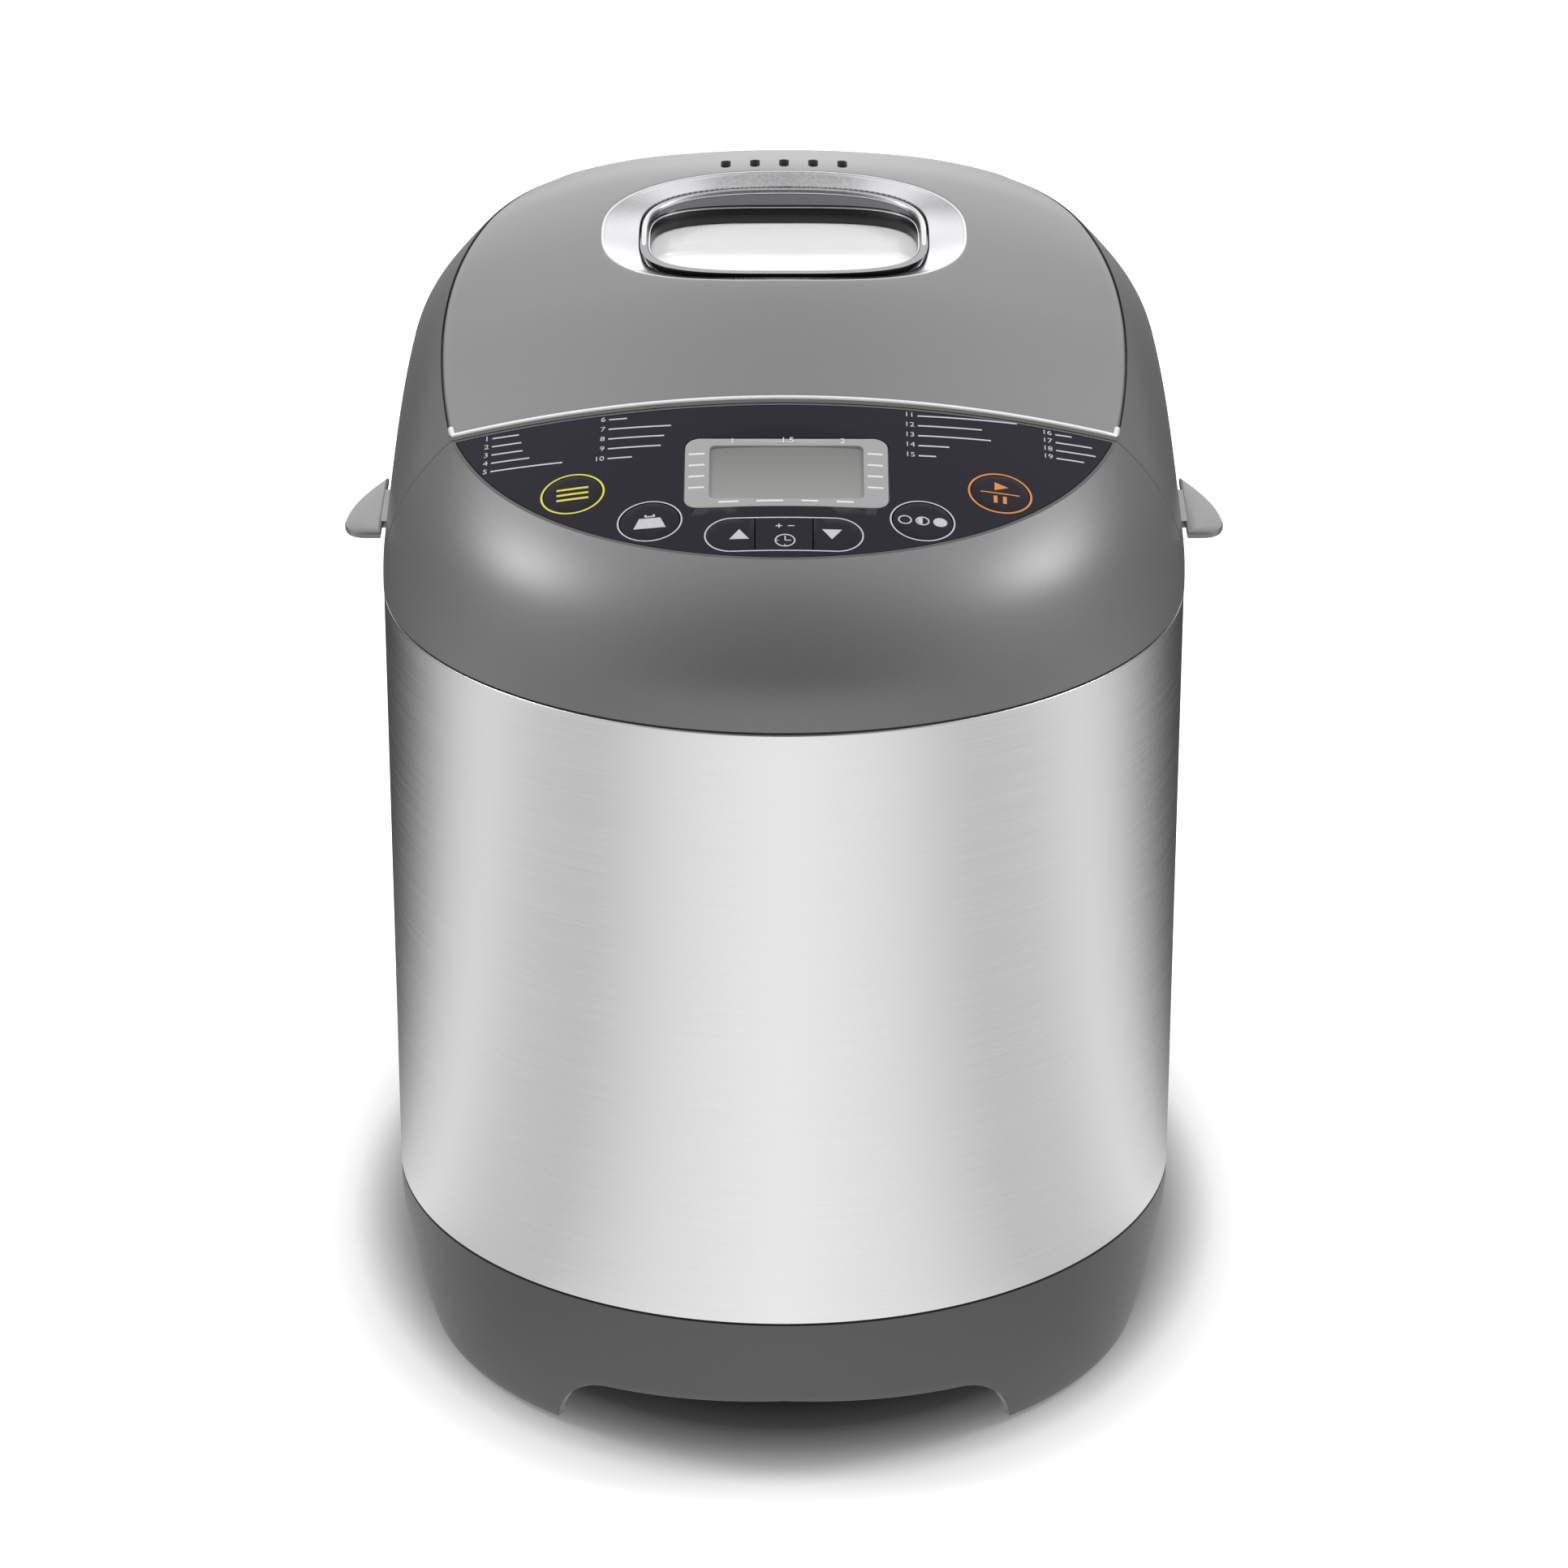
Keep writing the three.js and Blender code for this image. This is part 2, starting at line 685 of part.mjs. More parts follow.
const machine = new THREE.Group();

function add(name, body, finish) {
  const mesh = new THREE.Mesh(geometryOf(body), new THREE.MeshStandardMaterial(finish));
  mesh.name = name;
  machine.add(mesh);
}

const mirrored = [["left", -1], ["right", 1]];

// ---------- base and feet ----------
const taper = (z) => baseTaper * Math.max(0, 1 - z / baseTop) ** baseTaperPower;
const skirt = (levels, distance) => loft(levels.map((z) => level(bodyLoop(taper(z) + distance), z)));

// Tongue that stands up, or hangs down, inside the steel wrap and stops at the rear cover.
function lip(z0, z1, notchBottom, notchTop) {
  const outer = prism(bodyLoop(steelWall + fit), z0, z1);
  const reach = rearPanelHalfWidth + fit;
  const notch = box(-reach, reach, rearY - rearCoverWall - fit, rearY + 5, notchBottom, notchTop);
  return cut(outer, prism(bodyLoop(plasticWall), z0 - 1, z1 + 1), notch);
}

function base() {
  const floorTop = baseFloor + baseFloorThickness;
  const skin = skirt([footHeight, 12, 26, baseTop - seam], 0);
  const upper = skirt([floorTop, baseTop + 1], plasticWall);
  const lower = skirt([footHeight - 1, baseFloor], plasticWall);
  let body = cut(skin, upper, lower);
  body = join(body, lip(baseTop - lipHeight, baseTop + lipHeight, baseTop - seam, baseTop + lipHeight + 1));
  for (const [x, y] of footPlaces) {
    body = join(body, post(x, y, footHeight, baseFloor + 1, footRadius + 2, 14).intersect(skin));
  }
  for (const x of [-rearScrewX, rearScrewX]) {
    const inside = rearY - rearCoverWall;
    const [x0, x1] = [x - rearScrewBlock, x + rearScrewBlock];
    const [y0, y1] = [inside - screwReach + 1, inside - fit];
    body = join(body, box(x0, x1, y0, y1, baseFloor + 1, rearScrewHeight + 1.5));
  }
  body = cut(body, archOpening());
  for (const [x, y] of footPlaces) {
    body = cut(body, post(x, y, 0, footHeight + 2 + fit, footRadius + fit, 14));
    body = cut(body, post(x, y, 1, footStemTop + fit, footStemRadius + fit, 8));
  }
  for (const x of [-chassisScrewX, chassisScrewX]) {
    body = cut(body, post(x, chassisScrewY, baseFloor - 1, floorTop + 1, screwRadius + fit, 10));
  }
  for (const x of [-rearScrewX, rearScrewX]) {
    body = cut(body, bar(x, rearY - screwReach - 2, rearY + 1, rearScrewHeight, screwRadius + fit, 10));
  }
  for (const x of airHolePlaces) {
    const [x0, x1] = [x - airHoleHalfWidth, x + airHoleHalfWidth];
    body = cut(body, box(x0, x1, -airHoleHalfLength, airHoleHalfLength, baseFloor - 1, floorTop + 1));
  }
  return body;
}

// The low arch under the front and the same one under the rear.
function archOpening() {
  const round = archHalfWidth - archShoulder;
  const shoulder = (sign, from, to) =>
    arc(0, 0, 1, from, to, 5).map(([c, s]) => [round * c + sign * archShoulder, archShoulderHeight * s]);
  const outline = [
    [-archHalfWidth, farBelow],
    [archHalfWidth, farBelow],
    ...shoulder(1, 0, 90),
    [0, archHeight],
    ...shoulder(-1, 90, 180),
  ];
  const middle = box(-archHalfWidth - 1, archHalfWidth + 1, -archSpan, archSpan, farBelow, baseFloor + 1);
  return cut(prismY(outline, -farAside, farAside), middle);
}

function foot(x, y) {
  const pad = post(x, y, 0, footHeight + 2, footRadius, 14);
  return join(pad, post(x, y, footHeight, footStemTop, footStemRadius, 8));
}

// ---------- steel wrap and rear cover ----------
function stainlessWrap() {
  const [z0, z1] = [baseTop + seam, steelTop - seam];
  const skin = cut(prism(bodyLoop(), z0, z1), prism(bodyLoop(steelWall), z0 - 1, z1 + 1));
  const gap = rearPanelHalfWidth + fit;
  return cut(skin, box(-gap, gap, rearY - 10, rearY + 1, z0 - 1, z1 + 1));
}

function rearCover() {
  const [z0, z1] = [baseTop + seam, steelTop - seam];
  let body = box(-rearPanelHalfWidth, rearPanelHalfWidth, rearY - rearCoverWall, rearY, z0, z1);
  for (let k = 0; k < rearSlotCount; k++) {
    const z = rearSlotStart + k * rearSlotPitch;
    const slot = box(-rearSlotHalfLength, rearSlotHalfLength, rearY - 5, rearY + 1, z, z + rearSlotWidth);
    body = cut(body, slot);
  }
  body = cut(body, bar(0, rearY - 5, rearY + 1, inletHeight, inletRadius + fit, 16));
  for (const x of [-rearScrewX, rearScrewX]) {
    body = cut(body, bar(x, rearY - 5, rearY + 1, rearScrewHeight, screwRadius + fit, 12));
    body = cut(body, bar(x, rearY - 1.5, rearY + 1, rearScrewHeight, screwHeadRadius + fit, 12));
  }
  return body;
}

function rearScrew(x) {
  const headTop = rearY - 0.2;
  const head = bar(x, headTop - screwHeadHeight, headTop, rearScrewHeight, screwHeadRadius, 12);
  return join(head, bar(x, rearY - screwReach, rearY - 1, rearScrewHeight, screwRadius, 10));
}

function cordInlet() {
  const body = join(
    bar(0, rearY - inletLength, rearY - 0.2, inletHeight, inletRadius, 16),
    bar(0, rearY - inletLength, rearY - rearCoverWall - fit, inletHeight, inletRadius + inletFlange, 16),
  );
  return cut(body, bar(0, rearY - inletLength - 1, rearY + 1, inletHeight, cordRadius, 14));
}

add("base", base(), darkPlastic);
footPlaces.forEach(([x, y], i) => add("foot_" + (i + 1), foot(x, y), blackRubber));
add("stainless_wrap", stainlessWrap(), brushedSteel);
add("rear_cover", rearCover(), darkPlastic);
add("cord_inlet", cordInlet(), blackPlastic);
for (const [side, sign] of mirrored) add("rear_screw_" + side, rearScrew(sign * rearScrewX), turnedSteel);

// ---------- chassis and drive ----------
const chassisBottom = baseFloor + baseFloorThickness + fit;
const chassisTop = chassisBottom + sheetWall;
const onChassis = chassisTop + fit;

function chassisPlate() {
  const outline = bodyLoop(taper(chassisBottom) + plasticWall + 4);
  const middle = box(-farAside, farAside, chassisFront, chassisRear, chassisBottom - 1, chassisTop + 1);
  let body = prism(outline, chassisBottom, chassisTop).intersect(middle);
  const hole = roundedRect(0, -30, chassisHoleHalfWidth, chassisHoleHalfDepth, 8, 3);
  body = cut(body, prism(hole, chassisBottom - 1, chassisTop + 1));
  for (const x of [-chassisScrewX, chassisScrewX]) {
    body = cut(body, post(x, chassisScrewY, chassisBottom - 1, chassisTop + 1, screwRadius + fit, 10));
  }
  return body;
}

function chassisScrew(x) {
  const head = post(x, chassisScrewY, onChassis, onChassis + 2, screwHeadRadius, 12);
  return join(head, post(x, chassisScrewY, baseFloor + fit, onChassis + 1, screwRadius, 10));
}

// Folded sheet bridge: a top plate on two legs with feet, standing on the chassis.
function bridge(y0, y1, topOuter, halfSpan, footLength) {
  const inner = halfSpan - sheetWall;
  const foot = onChassis + sheetWall;
  const right = [
    [inner, onChassis],
    [halfSpan + footLength, onChassis],
    [halfSpan + footLength, foot],
    [halfSpan, foot],
    [halfSpan, topOuter],
  ];
  const left = right.map(([x, z]) => [-x, z]).reverse();
  return prismY([...right, ...left, [-inner, topOuter - sheetWall], [inner, topOuter - sheetWall]], y0, y1);
}

const standTop = ovenFloor - fit;
const ovenStand = cut(
  bridge(ovenY - standHalfDepth, ovenY + standHalfDepth, standTop, ovenHalfWidth - standInset, standFoot),
  post(0, ovenY, standTop - 5, standTop + 1, bearingRadius + fit, 16),
);
const [bracketFront, bracketRear] = [motorY - motorRadius + 2, motorY + motorRadius - 2];
const motorBracket = cut(
  bridge(bracketFront, bracketRear, motorSeat - fit, motorBracketHalfWidth, motorBracketFoot),
  post(0, motorY, motorSeat - 5, motorSeat + 1, motorBossRadius + fit, 14),
);

function motor() {
  const top = motorSeat + motorLength;
  const can = turned(0, motorY, [
    [0, motorSeat - 4],
    [motorBossRadius, motorSeat - 4],
    [motorBossRadius, motorSeat],
    [motorRadius, motorSeat],
    [motorRadius, top - 6],
    [motorRadius - 5, top],
    [0, top],
  ]);
  return cut(can, post(0, motorY, motorSeat - 5, motorSeat + 12, motorShaftRadius + running, 14));
}

const pulleyTop = pulleyBottom + beltHeight;
function pulley(y, radius, bore, hub, sides) {
  const groove = radius - fit;
  const flange = radius + beltThickness + 1;
  return turned(0, y, [
    [bore + fit, pulleyBottom - 4],
    [hub, pulleyBottom - 4],
    [hub, pulleyBottom - pulleyRim],
    [flange, pulleyBottom - pulleyRim],
    [flange, pulleyBottom - running],
    [groove, pulleyBottom - running],
    [groove, pulleyTop + running],
    [flange, pulleyTop + running],
    [flange, pulleyTop + pulleyRim],
    [bore + fit, pulleyTop + pulleyRim],
    [bore + fit, pulleyBottom - 4],
  ], sides);
}

function beltLoop(distance) {
  const difference = largePulleyRadius - smallPulleyRadius;
  const lean = THREE.MathUtils.radToDeg(Math.asin(difference / (ovenY - motorY)));
  return [
    ...arc(0, ovenY, largePulleyRadius + distance, -lean, 180 + lean, 20),
    ...arc(0, motorY, smallPulleyRadius + distance, 180 + lean, 360 - lean, 8),
  ];
}
const driveBelt = cut(
  prism(beltLoop(beltThickness), pulleyBottom, pulleyTop),
  prism(beltLoop(0), pulleyBottom - 1, pulleyTop + 1),
);

const bearingTop = ovenFloor + sheetWall + 4;
const bearingBottom = standTop - bearingLength;
const bearingFlangeTop = standTop - sheetWall - fit;
const bearingFlangeBottom = bearingFlangeTop - 2.5;
const bearingFlangeRadius = bearingRadius + bearingFlange;
const spindleBearing = turned(0, ovenY, [
  [shaftRadius + running, bearingBottom],
  [bearingRadius, bearingBottom],
  [bearingRadius, bearingFlangeBottom],
  [bearingFlangeRadius, bearingFlangeBottom],
  [bearingFlangeRadius, bearingFlangeTop],
  [bearingRadius, bearingFlangeTop],
  [bearingRadius, bearingTop],
  [shaftRadius + running, bearingTop],
  [shaftRadius + running, bearingBottom],
]);

const couplingBottom = bearingTop + running;
const couplingTop = couplingBottom + couplingPlate;
const lugTop = couplingTop + lugHeight;
const spindle = post(0, ovenY, pulleyBottom - 6, couplingTop, shaftRadius, 14);

function driveCoupling() {
  let body = tube(0, ovenY, couplingBottom, couplingTop, couplingRadius, shaftRadius + fit, 16);
  for (const sign of [-1, 1]) {
    const [x0, x1] = span(sign, couplingRadius - 5, couplingRadius - 0.6);
    body = join(body, box(x0, x1, ovenY - lugHalfWidth, ovenY + lugHalfWidth, couplingTop - 1, lugTop));
  }
  return body;
}

function powerBoard() {
  const [x0, x1] = [powerBoardX, powerBoardX + powerBoardWidth];
  const [y0, y1] = [powerBoardY, powerBoardY + powerBoardDepth];
  const bottom = onChassis + powerBoardRise;
  let body = box(x0, x1, y0, y1, bottom, bottom + boardThickness);
  for (const x of [x0 + 4, x1 - 4]) {
    body = join(body, post(x, y0 + 4, onChassis, bottom + 1, 2.5, 10));
    body = join(body, post(x, y1 - 4, onChassis, bottom + 1, 2.5, 10));
  }
  const top = bottom + boardThickness - 0.5;
  return join(
    body,
    box(x0 + 6, x0 + 22, y0 + 8, y0 + 28, top, top + transformerHeight),
    box(x0 + 8, x0 + 20, y1 - 13, y1 - 5, top, top + transformerHeight - 7),
    post(x1 - 7, y1 - 15, top, top + transformerHeight - 2, 5, 14),
    box(x1 - 10, x1 - 4, y0 + 10, y0 + 21, top, top + transformerHeight - 10),
  );
}

add("chassis_plate", chassisPlate(), sheetSteel);
for (const [side, sign] of mirrored) {
  add("chassis_screw_" + side, chassisScrew(sign * chassisScrewX), turnedSteel);
}
add("oven_stand", ovenStand, sheetSteel);
add("motor_bracket", motorBracket, sheetSteel);
add("motor", motor(), castAluminium);
add("motor_shaft", post(0, motorY, pulleyBottom - 5, motorSeat + 11, motorShaftRadius, 14), turnedSteel);
add("motor_pulley", pulley(motorY, smallPulleyRadius, motorShaftRadius, pulleyHub - 2, 16), blackPlastic);
add("drive_belt", driveBelt, blackRubber);
add("large_pulley", pulley(ovenY, largePulleyRadius, shaftRadius, pulleyHub, 26), blackPlastic);
add("spindle", spindle, turnedSteel);
add("spindle_bearing", spindleBearing, castAluminium);
add("drive_coupling", driveCoupling(), castAluminium);
add("power_board", powerBoard(), circuitBoard);
const capacitor = post(capacitorX, capacitorY, onChassis, onChassis + capacitorHeight, capacitorRadius, 20);
add("motor_capacitor", capacitor, castAluminium);

// ---------- oven ----------
const ovenRect = (distance) =>
  roundedRect(0, ovenY, ovenHalfWidth - distance, ovenHalfDepth - distance, ovenCorner - distance, 5);
const flangeBottom = partingHeight + fit;
const flangeTop = flangeBottom + 1;

function ovenCavity() {
  let body = join(
    prism(ovenRect(0), ovenFloor, flangeTop),
    prism(ovenRect(-ovenFlange), flangeBottom, flangeTop),
  );
  body = cut(body, prism(ovenRect(sheetWall), ovenFloor + sheetWall, flangeTop + 1));
  body = cut(body, post(0, ovenY, ovenFloor - 1, ovenFloor + sheetWall + 1, bearingRadius + fit, 16));
  for (const x of [-elementLead, elementLead]) {
    body = cut(body, bar(x, ovenFront - 2, ovenFront + 4, elementHeight, elementRadius + fit + 0.2, 12));
  }
  return cut(body, bar(sensorX, ovenFront - 2, ovenFront + 4, sensorHeight, sensorRadius + fit, 12));
}

function heatingElement() {
  const loop = roundedRect(0, ovenY, elementHalfWidth, elementHalfDepth, elementCorner, 4);
  const front = ovenY - elementHalfDepth;
  const start = loop.findIndex(([x, y]) => x > 0 && y < front + 1);
  const round = [...loop.slice(start), ...loop.slice(0, start)];
  const bend = arc(elementLead + elementBend, front - elementBend, elementBend, 180, 90, 3);
  const lead = [[elementLead, ovenFront - elementBend - 2], ...bend];
  const back = lead.map(([x, y]) => [-x, y]).reverse();
  const route = [...lead, ...round, ...back].map(([x, y]) => new THREE.Vector3(x, y, elementHeight));
  return wire(route, elementRadius, new THREE.Vector3(0, 0, 1));
}

function temperatureSensor() {
  return join(
    bar(sensorX, ovenFront - 8, ovenFront - 8 + sensorLength, sensorHeight, sensorRadius, 12),
    bar(sensorX, ovenFront - 3, ovenFront - fit, sensorHeight, sensorRadius + 3, 12),
  );
}

const onOvenFloor = ovenFloor + sheetWall + fit;
const seatRadius = panSkirtRadius + running;
const seatTop = onOvenFloor + panSeatHeight;
const panSeat = tube(0, ovenY, onOvenFloor, seatTop, seatRadius + panSeatWall, seatRadius, 24);

add("oven_cavity", ovenCavity(), sheetSteel);
add("heating_element", heatingElement(), elementSteel);
add("temperature_sensor", temperatureSensor(), turnedSteel);
add("pan_seat", panSeat, castAluminium);

// ---------- pan, bail and paddle ----------
const panRect = (distance) =>
  roundedRect(0, ovenY, panHalfWidth - distance, panHalfDepth - distance, panCorner - distance, 4);
const panFloor = panBottom + panWall;
const draftAt = (z) => (panDraft * (panTop - z)) / (panTop - panBottom);

function breadPan() {
  const ring = (distance, z) => level(panRect(distance + draftAt(z)), z);
  let body = loft([ring(0, panBottom), ring(0, panTop)]);
  body = join(body, prism(panRect(-panLip), panTop - 2, panTop));
  body = cut(body, loft([ring(panWall, panFloor), ring(panWall, panTop + 1)]));
  const skirtInner = panSkirtRadius - panSkirtWall;
  body = join(body, tube(0, ovenY, onOvenFloor, panBottom + 1, panSkirtRadius, skirtInner, 24));
  for (const [, sign] of mirrored) {
    const [x0, x1] = span(sign, panHalfWidth - 1, panHalfWidth + 3);
    const [y0, y1] = [ovenY - pivotHalfWidth, ovenY + pivotHalfWidth];
    body = join(body, box(x0, x1, y0, y1, bailHeight - pivotHalfWidth - 1, panTop - 1));
    const [h0, h1] = span(sign, panHalfWidth + 0.4, panHalfWidth + 4);
    body = cut(body, rod(h0, h1, ovenY, bailHeight, bailRadius + running, 10));
  }
  return cut(body, post(0, ovenY, panBottom - 1, panFloor + 1, bushingRadius + fit, 18));
}

// The bail is a wire that hangs on its pivots and leans forward on the pan's lip.
function panBail() {
  const x = panHalfWidth + panLip + running + bailRadius;
  const pivot = x - panHalfWidth - 0.8;
  const corner = arc(-bailBend, bailLength - bailBend, bailBend, 0, 90, 3);
  const half = [[-pivot, 0], [-1, 0], [0, 1], ...corner];
  const rise = Math.asin((panTop + fit + bailRadius + 0.2 - bailHeight) / bailLength);
  const at = (u, v) => new THREE.Vector3(u, ovenY - v * Math.cos(rise), bailHeight + v * Math.sin(rise));
  const right = half.map(([u, v]) => at(x + u, v));
  const left = half.map(([u, v]) => at(-x - u, v)).reverse();
  return wire([...right, ...left], bailRadius, new THREE.Vector3(0, Math.sin(rise), Math.cos(rise)));
}

const panCouplingBottom = couplingTop + 1;
const panCouplingTop = panCouplingBottom + panCouplingHeight;
const bushingBottom = panCouplingTop + fit;
const bushingTop = panFloor + bushingRise;
const panBushing = turned(0, ovenY, [
  [shaftRadius + running, bushingBottom],
  [bushingRadius, bushingBottom],
  [bushingRadius, panFloor + fit],
  [bushingRadius + bushingRise, panFloor + fit],
  [bushingRadius + bushingRise, panFloor + 2],
  [bushingRadius - 2, bushingTop],
  [shaftRadius + running, bushingTop],
  [shaftRadius + running, bushingBottom],
]);
const sealTop = bushingTop + fit + 2;
const panSeal = tube(0, ovenY, bushingTop + fit, sealTop, shaftRadius + 3, shaftRadius + running, 14);
const shaftTop = sealTop + paddleGrip;
const panShaft = post(0, ovenY, panCouplingBottom, shaftTop, shaftRadius, 14);
const panCoupling = cut(
  join(
    post(0, ovenY, panCouplingBottom, panCouplingTop, shaftRadius + 3, 14),
    box(-2.5, 2.5, ovenY - couplingRadius, ovenY + couplingRadius, panCouplingBottom, panCouplingTop),
  ),
  post(0, ovenY, panCouplingBottom - 1, panCouplingTop + 1, shaftRadius + fit, 14),
);

function kneadingPaddle() {
  const bottom = sealTop + fit;
  const shoulder = bottom + paddleHeight * 0.64;
  const blade = [
    [0, bottom],
    [paddleReach, bottom],
    [paddleReach - 4, shoulder],
    [paddleReach - 16, bottom + paddleHeight],
    [0, bottom + paddleGrip],
  ];
  const heel = [[-paddleHubRadius - 5, bottom], [0, bottom], [0, shoulder], [-paddleHubRadius - 1, shoulder]];
  const half = paddleHalfThickness;
  const body = join(
    post(0, ovenY, bottom, shaftTop + 2, paddleHubRadius, 20, paddleHubRadius - 2),
    prismY(blade, ovenY - half, ovenY + half),
    prismY(heel, ovenY - half - 0.5, ovenY + half + 0.5),
  );
  return cut(body, post(0, ovenY, bottom - 1, shaftTop + 3, shaftRadius + fit, 14));
}

add("bread_pan", breadPan(), nonStick);
add("pan_bail", panBail(), turnedSteel);
add("pan_bushing", panBushing, castAluminium);
add("pan_seal", panSeal, siliconeGrey);
add("pan_shaft", panShaft, turnedSteel);
add("pan_coupling", panCoupling, castAluminium);
add("kneading_paddle", kneadingPaddle(), nonStick);

// ---------- control panel ----------
const panelLoop = (distance) => {
  const radius = panelRadius - overlayRim - distance;
  const chord = partingY - overlayRim - distance;
  const lean = THREE.MathUtils.radToDeg(Math.asin((panelCentreY - chord) / radius));
  return arc(0, panelCentreY, radius, 180 + lean, 360 - lean, 20);
};
const timerCap = (sign, distance) => {
  const radius = timerHalfWidth - distance;
  const centre = timerHalfLength - timerHalfWidth;
  const round = arc(centre, 0, radius, -90, 90, 6);
  const cap = [[timerInner + distance, -radius], ...round, [timerInner + distance, radius]];
  return sign > 0 ? cap : cap.map(([x, y]) => [-x, y]).reverse();
};
const roundCap = (distance) => arc(0, 0, buttonRadius - distance, 0, 337.5, 15);

// Each button: its place, where its outline is centred, and its outline less a distance.
const buttons = Object.entries(buttonPlaces).map(([name, place]) => ({ name, place, outline: roundCap }));
for (const [name, sign] of [["timer_up_button", -1], ["timer_down_button", 1]]) {
  const middle = (sign * (timerInner + timerHalfLength)) / 2;
  const outline = (distance) => timerCap(sign, distance).map(([x, y]) => [x - middle, y]);
  buttons.push({ name, place: [middle, timerY], outline });
}

const recessDepth = overlayThickness + fit;
const deckBottom = plasticWall;
const capFlangeTop = deckBottom + 1;
const capFlangeBottom = capFlangeTop + capFlangeThickness;
const switchTop = boardDepth - switchHeight;

function buttonCap({ place: [x, y], outline }) {
  const stemEnd = switchTop - sag(x) - buttonTravel - fit;
  const cap = join(
    prism(outline(fit), -capFlangeBottom + 0.1, 0),
    prism(outline(-capFlangeWidth), -capFlangeBottom, -capFlangeTop),
    post(0, 0, -stemEnd, -capFlangeBottom + 0.1, stemRadius, 10),
  );
  return onCrown(cap, x, y);
}

const lcdY = (lcdFront + lcdRear) / 2;
const lcdHalfDepth = (lcdRear - lcdFront) / 2;
const lcdOutline = (distance) =>
  roundedRect(0, lcdY, lcdHalfWidth - distance, lcdHalfDepth - distance, lcdCorner, 3);
const lcdBody = (distance) => [lcdWindowHalfWidth + 2 - distance, lcdWindowHalfDepth + 2 - distance];

function controlOverlay() {
  let body = crownSheet(panelLoop(0), 0, overlayThickness);
  body = cut(body, prism(lcdOutline(-fit), shoulderFoot, farAbove));
  for (const { place: [x, y], outline } of buttons) {
    body = cut(body, onCrown(prism(outline(0), -4, 4), x, y));
  }
  return body;
}

const lcdBezel = cut(
  crownSheet(lcdOutline(0), 0, overlayThickness),
  prism(roundedRect(0, lcdY, lcdWindowHalfWidth, lcdWindowHalfDepth, 1, 1), shoulderFoot, farAbove),
);

function lcdModule() {
  const [hx, hy] = lcdBody(0);
  return onCrown(box(-hx, hx, -hy, hy, -boardDepth + fit, -2.2), 0, lcdY);
}

function controlBoard() {
  const board = roundedRect(0, 0, boardHalfWidth, boardHalfDepth, 4, 2);
  let body = onCrown(prism(board, -boardDepth - boardThickness, -boardDepth), 0, boardY);
  for (const { place: [x, y] } of buttons) {
    body = join(body, onCrown(post(x, 0, -boardDepth - 0.5, -switchTop, switchRadius, 10), 0, y));
  }
  return body;
}

add("control_overlay", controlOverlay(), panelFilm);
add("lcd_bezel", lcdBezel, bezelGrey);
add("lcd_module", lcdModule(), lcdGreen);
for (const button of buttons) add(button.name, buttonCap(button), panelFilm);
add("control_board", controlBoard(), circuitBoard);

// ---------- top housing ----------
const knuckleSide = knuckleLength / 2 + running;

function topHousing() {
  const outline = { plan: bodyPlan, top: levelCrown };
  const skin = form({ ...outline, bottom: steelTop + seam });
  const hollow = form({ ...outline, wall: plasticWall });
  const inner = hollow.intersect(partingSide(partingY - plasticWall, partingHeight - plasticWall, true));
  let body = cut(skin.intersect(partingSide(partingY - running / 2, partingHeight, true)), inner);

  const lipBottom = steelTop - lipHeight;
  body = join(body, lip(lipBottom, steelTop + lipHeight, lipBottom - 1, steelTop + seam));
  for (const hx of [-hingeX, hingeX]) {
    for (const [, sign] of mirrored) {
      const [x0, x1] = span(sign, knuckleSide, knuckleSide + earLength).map((x) => hx + x);
      const [y0, y1] = [hingeY - knuckleRadius, hingeY + knuckleRadius];
      body = join(body, rod(x0, x1, hingeY, hingeHeight, knuckleRadius, 16));
      body = join(body, box(x0, x1, y0, y1, partingHeight - 1, hingeHeight));
    }
    const reach = knuckleSide + earLength + 1;
    body = cut(body, rod(hx - reach, hx + reach, hingeY, hingeHeight, hingePinRadius + running, 14));
  }

  const recess = cut(prism(panelLoop(-fit), shoulderFoot, farAbove), form({ drop: recessDepth }));
  body = cut(body, recess, prism(ovenRect(-0.5), partingHeight - 10, partingHeight + 10));
  for (const { place: [x, y], outline } of buttons) {
    body = cut(body, onCrown(prism(outline(-0.1), -deckBottom - 3, 4), x, y));
    const pocketBottom = -capFlangeBottom - buttonTravel - 1;
    const pocket = prism(outline(-capFlangeWidth - fit), pocketBottom, -capFlangeTop + fit);
    body = cut(body, onCrown(pocket, x, y));
  }
  const [hx, hy] = lcdBody(-fit - 0.2);
  body = cut(body, onCrown(box(-hx, hx, -hy, hy, -deckBottom - 3, 4), 0, lcdY));
  const bossTop = -deckBottom - sag(bossX) + 0.8;
  for (const x of [-bossX, bossX]) {
    body = join(body, onCrown(post(x, 0, -boardDepth + fit, bossTop, bossRadius, 12), 0, bossY));
  }
  return body;
}

add("top_housing", topHousing(), greyPlastic);

// ---------- lid ----------
const lidBottom = partingHeight + fit;
const lidFront = partingY + running / 2;
const inLid = (distance) =>
  box(-farAside, farAside, lidFront + distance, farAside, shoulderFoot, farAbove);
const sealBottom = flangeTop + fit;
const linerBottom = sealBottom + sealHeight + fit;
const lidFlangeBottom = linerBottom + sheetWall + fit;
const lidFlangeTop = lidFlangeBottom + lidFlangeThickness;

const shellLoop = (distance) => {
  const front = shellFrontY + distance;
  const rear = shellRearY - distance;
  const steps = 8;
  const right = [];
  for (let i = 0; i <= steps; i++) {
    const y = front + ((rear - front) * i) / steps;
    right.push([shellEdge(y) - distance, y]);
  }
  return [...right, ...right.map(([x, y]) => [-x, y]).reverse()];
};

